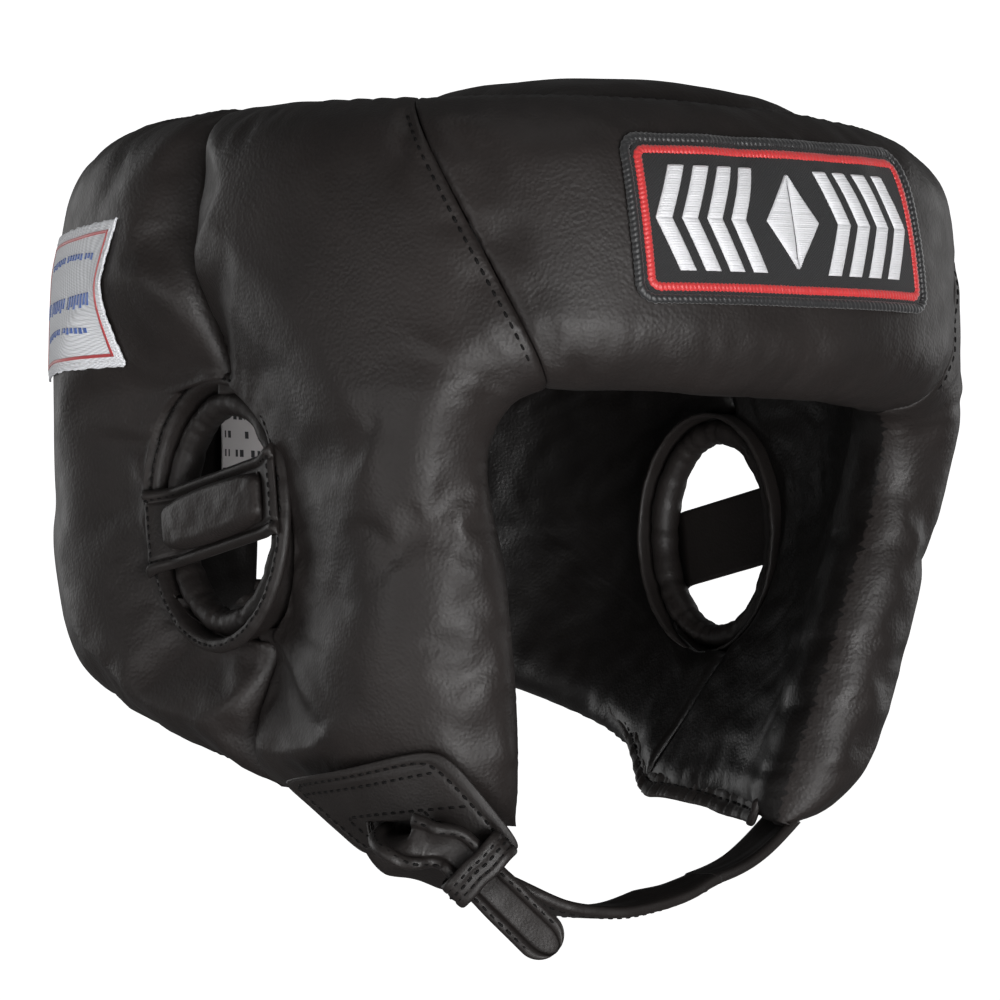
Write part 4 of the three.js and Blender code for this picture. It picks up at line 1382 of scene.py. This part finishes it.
def build_valley_joins():
    """Leather strips at the bottom of the valley, above and below the ear, that join the two pads."""
    for name, low, high in (("upper", 20.0, 86.0), ("lower", -81.0, -40.0)):
        w, v = np.meshgrid(np.linspace(-1, 1, 14), np.linspace(0, 1, 90), indexing="ij")
        z = mix(low, high, v)
        degrees = valley(z) + 3.6 * w
        depth = 20.2 - 0.8 * w ** 2 + 0.3 * noise(z / 6, w, 0, 33)
        points, faces = closed_sheet(on_shell(degrees, z, depth), on_shell(degrees, z, depth + 1.4))
        both_sides(f"{name}_valley_join", points, faces, MATERIALS["strap"], SHELL, "cover_leather")


def build_seam_stitching():
    """Stitches beside the seams between the forehead and the side pads."""
    tree = surface_of(bpy.data.objects["left_side_pad"])
    z = np.linspace(21, 83, 60)
    sewing = Sewing()
    line, normals = dropped(tree, seam(z) + 1.35, z, 0 * z)
    sewing.run(line, normals, 2.9, radius=0.4, sink=0.0)
    for side in ("left", "right"):
        sewing.piece(f"{side}_seam_stitching", SHELL, "cover_leather", mirror=side == "right")


# ---------------------------------------------------------------- chin tab and strap

SLOT_FROM, SLOT_TO, SLOT_Z, SLOT_HALF = 44.5, 58.0, -91.5, 2.8


def tab_plan(u, v):
    """Angle and height on the tab, u from front to rear and v from low to high, with rounded corners."""
    a, b = 2 * u - 1, 2 * v - 1
    far = np.maximum(np.abs(a), np.abs(b))
    angle = np.abs(a * b) / np.maximum(far, 1e-6) ** 2
    pull = 1 - 0.10 * smooth((far - 0.55) / 0.45) * angle ** 5
    a, b = a * pull, b * pull
    u, v = (a + 1) / 2, (b + 1) / 2
    low_front, low_rear, high_front, high_rear = (31.5, -97), (60, -98), (44.5, -70), (79, -78)
    degrees = mix(mix(low_front[0], low_rear[0], u), mix(high_front[0], high_rear[0], u), v)
    z = mix(mix(low_front[1], low_rear[1], u), mix(high_front[1], high_rear[1], u), v)
    bow = 4 * u * (1 - u)
    z = z - 2.2 * bow * smooth((v - 0.4) / 0.6) + 1.2 * bow * smooth((0.5 - v) / 0.5)
    return degrees, z


def touching(cells):
    """Grid points that touch any of these cells."""
    rows, columns = cells.shape
    points = np.zeros((rows + 1, columns + 1), bool)
    for i in (0, 1):
        for j in (0, 1):
            points[i:i + rows, j:j + columns] |= cells
    return points


def holed_faces(inside):
    """Faces of a slab between two grids, with the cells inside left out as a hole."""
    rows, columns = inside.shape[0] + 1, inside.shape[1] + 1
    i, j = np.nonzero(~inside)
    a = i * columns + j
    skin = np.stack([a, a + columns, a + columns + 1, a + 1], axis=1)
    n = rows * columns
    faces = [tuple(f) for f in skin] + [tuple(f[::-1] + n) for f in skin]
    borders = {}
    for f in skin:
        for k in range(4):
            p, q = int(f[k]), int(f[(k + 1) % 4])
            if (q, p) in borders:
                del borders[(q, p)]
            else:
                borders[(p, q)] = True
    return faces + [(q, p, p + n, q + n) for p, q in borders]


def build_tab():
    count_u, count_v = 96, 76
    u, v = np.meshgrid(np.linspace(0, 1, count_u), np.linspace(0, 1, count_v), indexing="ij")
    degrees, z = tab_plan(u, v)
    lift = 1.4 * smooth((v - 0.75) / 0.25) * np.exp(-((u - 0.62) / 0.22) ** 2)
    wavy = 0.35 * noise(degrees / 7, z / 7, 0, 14)
    mid_deg = (degrees[:-1, :-1] + degrees[1:, 1:]) / 2
    mid_z = (z[:-1, :-1] + z[1:, 1:]) / 2
    inside = (mid_deg > SLOT_FROM) & (mid_deg < SLOT_TO) & (np.abs(mid_z - SLOT_Z) < SLOT_HALF)
    # Grid lines near the slot are drawn onto its straight edges.
    lip = touching(inside) & touching(~inside)
    long_edge = lip & (np.abs(np.abs(z - SLOT_Z) - SLOT_HALF) < 0.9)
    z = np.where(long_edge, SLOT_Z + np.sign(z - SLOT_Z) * SLOT_HALF, z)
    nearer_end = np.where(degrees < (SLOT_FROM + SLOT_TO) / 2, SLOT_FROM, SLOT_TO)
    degrees = np.where(lip & ~long_edge, nearer_end, degrees)
    far = np.minimum(np.minimum(u, 1 - u) * 34, np.minimum(v, 1 - v) * 27)
    for name, low, tall, look in (("chin_tab_backing", 0.7, 1.2, "lining"), ("chin_tab", 2.05, 1.5, "strap")):
        inset = 0.55 * np.exp(-(far / 0.8) ** 2)
        seamed = 0.35 * np.exp(-((far - 2.6) / 0.55) ** 2)
        outer = on_shell(degrees, z, -(low + tall + lift + wavy) + inset + (seamed if look == "strap" else 0))
        inner = on_shell(degrees, z, -(low + lift + wavy) - inset * 0.6)
        points = np.concatenate([outer.reshape(-1, 3), inner.reshape(-1, 3)])
        mesh_piece(name, points, holed_faces(inside), MATERIALS[look], SHELL, "strap_leather", [name],
                   mirror=True)
    face_of_tab = outer
    normals = normals_of(face_of_tab)
    sewing = Sewing()

    def row(points):
        uu, vv = np.array(points).T
        fi, fj = np.clip(uu, 0, 1) * (count_u - 1.001), np.clip(vv, 0, 1) * (count_v - 1.001)
        line = read_grid(face_of_tab, fi, fj)
        sewing.run(line, normals[fi.astype(int), fj.astype(int)], 2.7, radius=0.4, sink=0.02)

    def path(*corners):
        out = []
        for (u0, v0), (u1, v1) in zip(corners[:-1], corners[1:]):
            out += list(zip(np.linspace(u0, u1, 40), np.linspace(v0, v1, 40)))
        return out

    row(path((0.08, 0.06), (0.08, 0.92), (0.92, 0.92), (0.92, 0.08)))
    row(path((0.10, 0.80), (0.90, 0.80)))
    row(path((0.32, 0.46), (0.32, 0.08)))
    row(path((0.10, 0.46), (0.80, 0.46), (0.80, 0.10)))
    sewing.piece("chin_tab_stitching", SHELL, "strap_leather", mirror=True)


# Sections, as (across, out of the face): the strap, and the tail, whose edges curl in
FLAT = rounded_profile([
    (-6.2, -1.2), (-3, -1.7), (0, -1.8), (3, -1.7), (6.2, -1.2), (6.8, 0), (6.2, 1.3), (3, 1.7), (0, 1.6),
    (-3, 1.7), (-6.2, 1.3), (-6.8, 0)], 56)
CHANNEL = rounded_profile([
    (-5.2, -1.5), (0, -1.8), (5.2, -1.5), (6.3, -0.8), (6.6, 0.3), (6.2, 1.4), (5.2, 1.9), (4.1, 1.6),
    (3.5, 0.8), (3.2, -0.2), (0, -0.6), (-3.2, -0.2), (-3.5, 0.8), (-4.1, 1.6), (-5.2, 1.9), (-6.2, 1.4),
    (-6.6, 0.3), (-6.3, -0.8)], 56)
RUN = 190  # points along each strap

# The tail's direction, its way out of the tab and its width, through the keeper
KEEPER_AT, TAIL_TIP = np.array([-63.2, -77, -101.0]), np.array([-46, -88, -121.0])
TAIL = unit(TAIL_TIP - KEEPER_AT)
TAIL_OUT = np.array([-0.65, -0.76, 0])
TAIL_OUT = unit(TAIL_OUT - TAIL * (TAIL_OUT @ TAIL))
TAIL_ACROSS = np.cross(TAIL_OUT, TAIL)


def build_chin_strap():
    """The strap from the anchor, under the chin, to the slot's inside."""
    line = through(
        [[17.5, -64, -103.4], [8, -65, -106.5], [0, -66, -108.2], [-15, -67, -111], [-30, -65, -110],
         [-43, -60, -105], [-54, -51.5, -99.5], [-61, -48.5, -96], [-64.5, -48, -90], [-65.5, -47.5, -84.5]],
        RUN)
    turn = through(
        [[0, 1, 0], [0, 1, 0], [0, 1, 0.1], [0, 1, 0.2], [0, 1, 0.1], [-0.1, 1, 0], [-0.5, 0.9, 0]]
        + [[-0.63, 0.78, 0]] * 3, RUN)
    wider = 1 + 0.75 * smooth((np.linspace(0, 1, RUN) - 0.70) / 0.16)
    points, faces = sweep(line, turn, FLAT, np.stack([wider, np.ones(RUN)], axis=1))
    points = points + 0.22 * clouds(points, 7, 2, 91)[:, None] * unit(points * [1, 1, 0])
    mesh_piece("chin_strap", points, faces, MATERIALS["strap"], SHELL, "strap_leather", ["chin_strap"])
    sideways, out = frames_along(line, turn)
    sewing = Sewing()
    part = slice(6, 120)
    for way in (-4.6, 4.6):
        stitched = line[part] + sideways[part] * way + out[part] * -1.5
        sewing.run(stitched, -out[part], 2.8, radius=0.38, sink=0.0)
    sewing.piece("chin_strap_stitching", SHELL, "strap_leather")


def build_tail():
    """The strap's end, out through the slot, round, and forward through the keeper."""
    before = KEEPER_AT - TAIL * 8
    line = through(
        [[-64, -51, -90.6], [-69.8, -56.6, -91.2], [-74.8, -61.4, -91.9], [-77.2, -66.0, -93.2],
         [-73.8, -70.6, -94.0], before, KEEPER_AT, KEEPER_AT + TAIL * 12, TAIL_TIP - TAIL * 1.0], RUN)
    turn = through(
        [[0.63, -0.78, 0], [0.63, -0.78, 0], [0.63, -0.78, 0.05], [0.62, -0.74, 0.25], [0.58, -0.60, 0.5]]
        + [TAIL_ACROSS] * 4, RUN)
    t = np.linspace(0, 1, RUN)
    near_end = (1 - t) / 0.085
    end = np.sqrt(np.clip(near_end, 0.0004, 1) * (2 - np.clip(near_end, 0, 1)))
    waist = 1 + 0.36 * smooth(1.25 - t / 0.42) - 0.03 * np.exp(-((t - 0.66) / 0.05) ** 2)
    scale = np.stack([end * waist * 0.92, 0.35 + 0.65 * end], axis=1)
    points, faces = sweep(line, turn, (CHANNEL * [1, -1])[::-1], scale)
    points = points + 0.25 * clouds(points, 6, 2, 95)[:, None] * TAIL_OUT
    bend = [[-76.0, -63.5, -92.3], before]
    mesh_piece("chin_strap_tail", points, faces, MATERIALS["strap"], STRAP_END, "strap_leather",
               ["chin_strap_tail"], bend=bend)
    sideways, out = frames_along(line, turn)
    sewing = Sewing()
    part = slice(34, -14)
    for way in (-5.0, 5.0):
        stitched = line[part] + sideways[part] * way * waist[part, None] * 0.92 - out[part] * 1.75
        sewing.run(stitched, -out[part], 2.7, radius=0.36, sink=0.0)
    sewing.piece("chin_strap_tail_stitching", STRAP_END, "strap_leather", bend=bend)


def build_keeper():
    """The keeper: a stitched band round the strap and its tail."""
    around = 96
    angle = np.linspace(0, 2 * math.pi, around + 1)[:-1]
    half_across, half_out = 8.6, 3.9
    ring = np.stack([half_across * np.sign(np.cos(angle)) * np.abs(np.cos(angle)) ** 0.55,
                     half_out * np.sign(np.sin(angle)) * np.abs(np.sin(angle)) ** 0.7], axis=1)
    closed = list(range(around)) + [0]
    plan = evenly(ring[closed], around + 1)[:-1]
    ahead = np.roll(plan, -1, 0) - np.roll(plan, 1, 0)
    outward = unit(np.stack([ahead[:, 1], -ahead[:, 0]], axis=1))
    in_space = np.stack([TAIL_ACROSS, TAIL_OUT])
    plan, outward = KEEPER_AT + TAIL_ACROSS * 1.2 + plan @ in_space, outward @ in_space
    band = rounded_profile([
        (-3.6, 0.1), (-3.4, 1.1), (-1.9, 1.35), (-1.6, 1.05), (0, 1.35), (1.6, 1.05), (1.9, 1.35),
        (3.4, 1.1), (3.6, 0.1), (0, -0.1)], 34)
    wave = 0.25 * noise(np.arange(around) / 9, 0, 0, 17)[:, None]
    rings = (plan[:, None] + outward[:, None] * band[None, :, 1:]
             + TAIL * (band[None, :, :1] + wave[..., None]))
    points, faces = loop_sweep(rings)
    mesh_piece("strap_keeper", points, faces[:, ::-1], MATERIALS["strap"], KEEPER, "strap_leather",
               ["strap_keeper"])
    sewing = Sewing()
    for way, high in ((-1.75, 1.15), (1.75, 1.15), (0, 1.4)):
        row = plan + outward * high + TAIL * (way + wave)
        sewing.run(row[closed], outward[closed], 2.5, radius=0.36, sink=0.02)
    sewing.piece("strap_keeper_stitching", KEEPER, "strap_leather")


def build_strap_anchor():
    """The anchor, sewn under the left cheek and narrowing to the strap's width."""
    w, v = np.meshgrid(np.linspace(0, 1, 40), np.linspace(0, 1, 60), indexing="ij")
    root = on_shell(mix(35, 58, w), CHEEK_Z + 2.0, FRONT_PAD / 2)
    end = np.array([16.5, -64, -103.4]) + (w[..., None] - 0.5) * 13.2 * np.array([0, 1.0, 0])
    middle = mix(end, root, v[..., None])
    middle[..., 2] -= 2.5 * np.sin(math.pi * v)
    edge = 0.6 * smooth((np.abs(w - 0.5) - 0.42) / 0.08)
    pleat = 0.5 * noise(w * 6, v * 1.5, 0, 23) * v
    out = normals_of(middle)
    points, faces = closed_sheet(middle + out * (1.5 - edge + pleat)[..., None],
                                 middle - out * (1.5 - edge - pleat)[..., None])
    mesh_piece("left_strap_anchor", points, faces, MATERIALS["strap"], SHELL, "strap_leather",
               ["left_strap_anchor"])


# ---------------------------------------------------------------- stage

def build_stage():
    scene = bpy.context.scene
    low = CAD_BOX[0].z
    floor_z, wall_y, corner = low - 0.22, 3.2, 1.2
    profile = [(-3.0, floor_z)] + [
        (wall_y - corner + corner * math.sin(a), floor_z + corner - corner * math.cos(a))
        for a in np.linspace(0, math.pi / 2, 24)] + [(wall_y, 6.0)]
    azimuth, elevation, distance = math.radians(-36), math.radians(-4), 1.25
    points, faces = [], []
    for y, z in profile:
        for x in (-6.0, 6.0):
            points.append((x * math.cos(azimuth) - y * math.sin(azimuth),
                           x * math.sin(azimuth) + y * math.cos(azimuth), z))
    for i in range(len(profile) - 1):
        faces.append((2 * i, 2 * i + 1, 2 * i + 3, 2 * i + 2))
    mesh = bpy.data.meshes.new("backdrop")
    mesh.from_pydata(points, [], faces)
    mesh.polygons.foreach_set("use_smooth", np.ones(len(faces), bool))
    backdrop = bpy.data.objects.new("backdrop", mesh)
    scene.collection.objects.link(backdrop)
    paper, nodes, links, base = shader("backdrop_paper")
    place = nodes.new("ShaderNodeTexCoord").outputs["Object"]
    fibre = pattern(nodes, links, "ShaderNodeTexNoise", place, scale=3.0, detail=2.0)
    ramp = nodes.new("ShaderNodeValToRGB")
    ramp.color_ramp.elements[0].color = (0.93, 0.93, 0.93, 1)
    ramp.color_ramp.elements[1].color = (0.96, 0.96, 0.96, 1)
    links.new(fibre.outputs["Fac"], ramp.inputs["Fac"])
    links.new(ramp.outputs["Color"], base.inputs["Base Color"])
    base.inputs["Roughness"].default_value = 0.9
    base.inputs["Emission Color"].default_value = (1, 1, 1, 1)
    base.inputs["Emission Strength"].default_value = 0.9
    mesh.materials.append(paper)
    backdrop.visible_diffuse = backdrop.visible_glossy = backdrop.visible_shadow = False
    scene.view_settings.view_transform = "Standard"

    world = bpy.data.worlds.new("studio")
    world.use_nodes = True
    world.node_tree.nodes["Background"].inputs["Color"].default_value = (1, 1, 1, 1)
    world.node_tree.nodes["Background"].inputs["Strength"].default_value = 0.1
    scene.world = world

    back = Vector((math.sin(azimuth) * math.cos(elevation), -math.cos(azimuth) * math.cos(elevation),
                   math.sin(elevation)))
    right = Vector((math.cos(azimuth), math.sin(azimuth), 0))
    camera_data = bpy.data.cameras.new("camera")
    camera_data.lens = 170
    camera_data.sensor_width = 36
    camera_data.shift_x, camera_data.shift_y = 0.0, -0.015
    camera = bpy.data.objects.new("camera", camera_data)
    camera.location = back * distance
    camera.rotation_mode = "QUATERNION"
    camera.rotation_quaternion = (-back).to_track_quat("-Z", "Y")
    scene.collection.objects.link(camera)
    scene.camera = camera

    lamps = [
        ("low_key", back * 1.2 + right * 0.1 + Vector((0, 0, -0.9)), 1.0, 12),
        ("front", back * 1.5 + right * 0.6 + Vector((0, 0, -0.1)), 1.2, 11),
        ("opening", Vector((-0.33, -1.25, -0.28)), 0.3, 8),
        ("left", back * 0.9 - right * 1.2 + Vector((0, 0, -0.3)), 0.8, 6),
        ("top", back * 0.4 + Vector((0, 0, 1.6)), 1.0, 2),
        ("back_left", back * -0.9 - right * 1.1 + Vector((0, 0, 0.2)), 0.9, 4),
        ("back_right", back * -0.8 + right * 1.2 + Vector((0, 0, 0.2)), 0.9, 4),
    ]
    for name, place, size, power in lamps:
        data = bpy.data.lights.new(name, "AREA")
        data.size, data.energy = size, power
        lamp = bpy.data.objects.new(name, data)
        lamp.location = place
        lamp.rotation_mode = "QUATERNION"
        lamp.rotation_quaternion = (-place).to_track_quat("-Z", "Y")
        scene.collection.objects.link(lamp)


# ---------------------------------------------------------------- operators

class HEADGEAR_OT_materials(bpy.types.Operator):
    """Makes the leathers and thread"""
    bl_idname = "headgear.materials"
    bl_label = "Materials"

    def execute(self, context):
        build_materials()
        return {"FINISHED"}


class HEADGEAR_OT_forehead(bpy.types.Operator):
    """Builds the forehead pad"""
    bl_idname = "headgear.forehead"
    bl_label = "Forehead pad"

    def execute(self, context):
        build_forehead()
        return {"FINISHED"}


class HEADGEAR_OT_side_pads(bpy.types.Operator):
    """Builds the temple and cheek pads"""
    bl_idname = "headgear.side_pads"
    bl_label = "Side pads"

    def execute(self, context):
        build_side_pads()
        return {"FINISHED"}


class HEADGEAR_OT_back_pads(bpy.types.Operator):
    """Builds the two back pads"""
    bl_idname = "headgear.back_pads"
    bl_label = "Back pads"

    def execute(self, context):
        build_back_pads()
        return {"FINISHED"}


class HEADGEAR_OT_stage(bpy.types.Operator):
    """Builds the backdrop, lamps and camera"""
    bl_idname = "headgear.stage"
    bl_label = "Stage"

    def execute(self, context):
        build_stage()
        return {"FINISHED"}


class HEADGEAR_OT_ears(bpy.types.Operator):
    """Builds the ears' facings, rolled rings and bridges"""
    bl_idname = "headgear.ears"
    bl_label = "Ears"

    def execute(self, context):
        build_ears()
        return {"FINISHED"}


class HEADGEAR_OT_crown(bpy.types.Operator):
    """Builds the crown flaps, their tapes and the tongue"""
    bl_idname = "headgear.crown"
    bl_label = "Crown"

    def execute(self, context):
        build_crown()
        return {"FINISHED"}


class HEADGEAR_OT_rear_closure(bpy.types.Operator):
    """Builds the strap, anchor and tapes at the back"""
    bl_idname = "headgear.rear_closure"
    bl_label = "Rear closure"

    def execute(self, context):
        build_rear_closure()
        return {"FINISHED"}


class HEADGEAR_OT_patch(bpy.types.Operator):
    """Builds the embroidered forehead patch"""
    bl_idname = "headgear.patch"
    bl_label = "Patch"

    def execute(self, context):
        build_patch()
        return {"FINISHED"}


class HEADGEAR_OT_labels(bpy.types.Operator):
    """Builds the woven size label and the care label"""
    bl_idname = "headgear.labels"
    bl_label = "Labels"

    def execute(self, context):
        build_size_label()
        build_care_label()
        return {"FINISHED"}


class HEADGEAR_OT_bindings(bpy.types.Operator):
    """Builds the lower bindings and the seams' stitching"""
    bl_idname = "headgear.bindings"
    bl_label = "Bindings and seams"

    def execute(self, context):
        build_lower_bindings()
        build_valley_joins()
        build_seam_stitching()
        return {"FINISHED"}


class HEADGEAR_OT_chin_tab(bpy.types.Operator):
    """Builds the slotted tab"""
    bl_idname = "headgear.chin_tab"
    bl_label = "Chin tab"

    def execute(self, context):
        build_tab()
        return {"FINISHED"}


class HEADGEAR_OT_chin_strap(bpy.types.Operator):
    """Builds the chin strap, its tail, the keeper and the anchor"""
    bl_idname = "headgear.chin_strap"
    bl_label = "Chin strap"

    def execute(self, context):
        build_chin_strap()
        build_tail()
        build_keeper()
        build_strap_anchor()
        return {"FINISHED"}


STEPS = (
    HEADGEAR_OT_materials, HEADGEAR_OT_stage, HEADGEAR_OT_forehead, HEADGEAR_OT_side_pads,
    HEADGEAR_OT_back_pads, HEADGEAR_OT_ears, HEADGEAR_OT_crown, HEADGEAR_OT_rear_closure,
    HEADGEAR_OT_patch, HEADGEAR_OT_labels, HEADGEAR_OT_bindings, HEADGEAR_OT_chin_tab,
    HEADGEAR_OT_chin_strap,
)


class HEADGEAR_PT_panel(bpy.types.Panel):
    """Lists the steps that build the headgear"""
    bl_label = "Boxing Headgear"
    bl_idname = "HEADGEAR_PT_panel"
    bl_space_type = "VIEW_3D"
    bl_region_type = "UI"
    bl_category = "Headgear"

    def draw(self, context):
        for step in STEPS:
            self.layout.operator(step.bl_idname)


GROUPS = (HeadgearShell, HeadgearLeather, HeadgearTrim)


def register():
    for cls in GROUPS + STEPS + (HEADGEAR_PT_panel,):
        bpy.utils.register_class(cls)
    bpy.types.Scene.headgear_shell = PointerProperty(type=HeadgearShell)
    bpy.types.Scene.headgear_leather = PointerProperty(type=HeadgearLeather)
    bpy.types.Scene.headgear_trim = PointerProperty(type=HeadgearTrim)


def unregister():
    for name in ("headgear_shell", "headgear_leather", "headgear_trim"):
        delattr(bpy.types.Scene, name)
    for cls in reversed(GROUPS + STEPS + (HEADGEAR_PT_panel,)):
        bpy.utils.unregister_class(cls)


def main():
    register()
    for step in STEPS:
        getattr(bpy.ops.headgear, step.bl_idname.split(".")[1])()


if __name__ == "__main__":
    main()
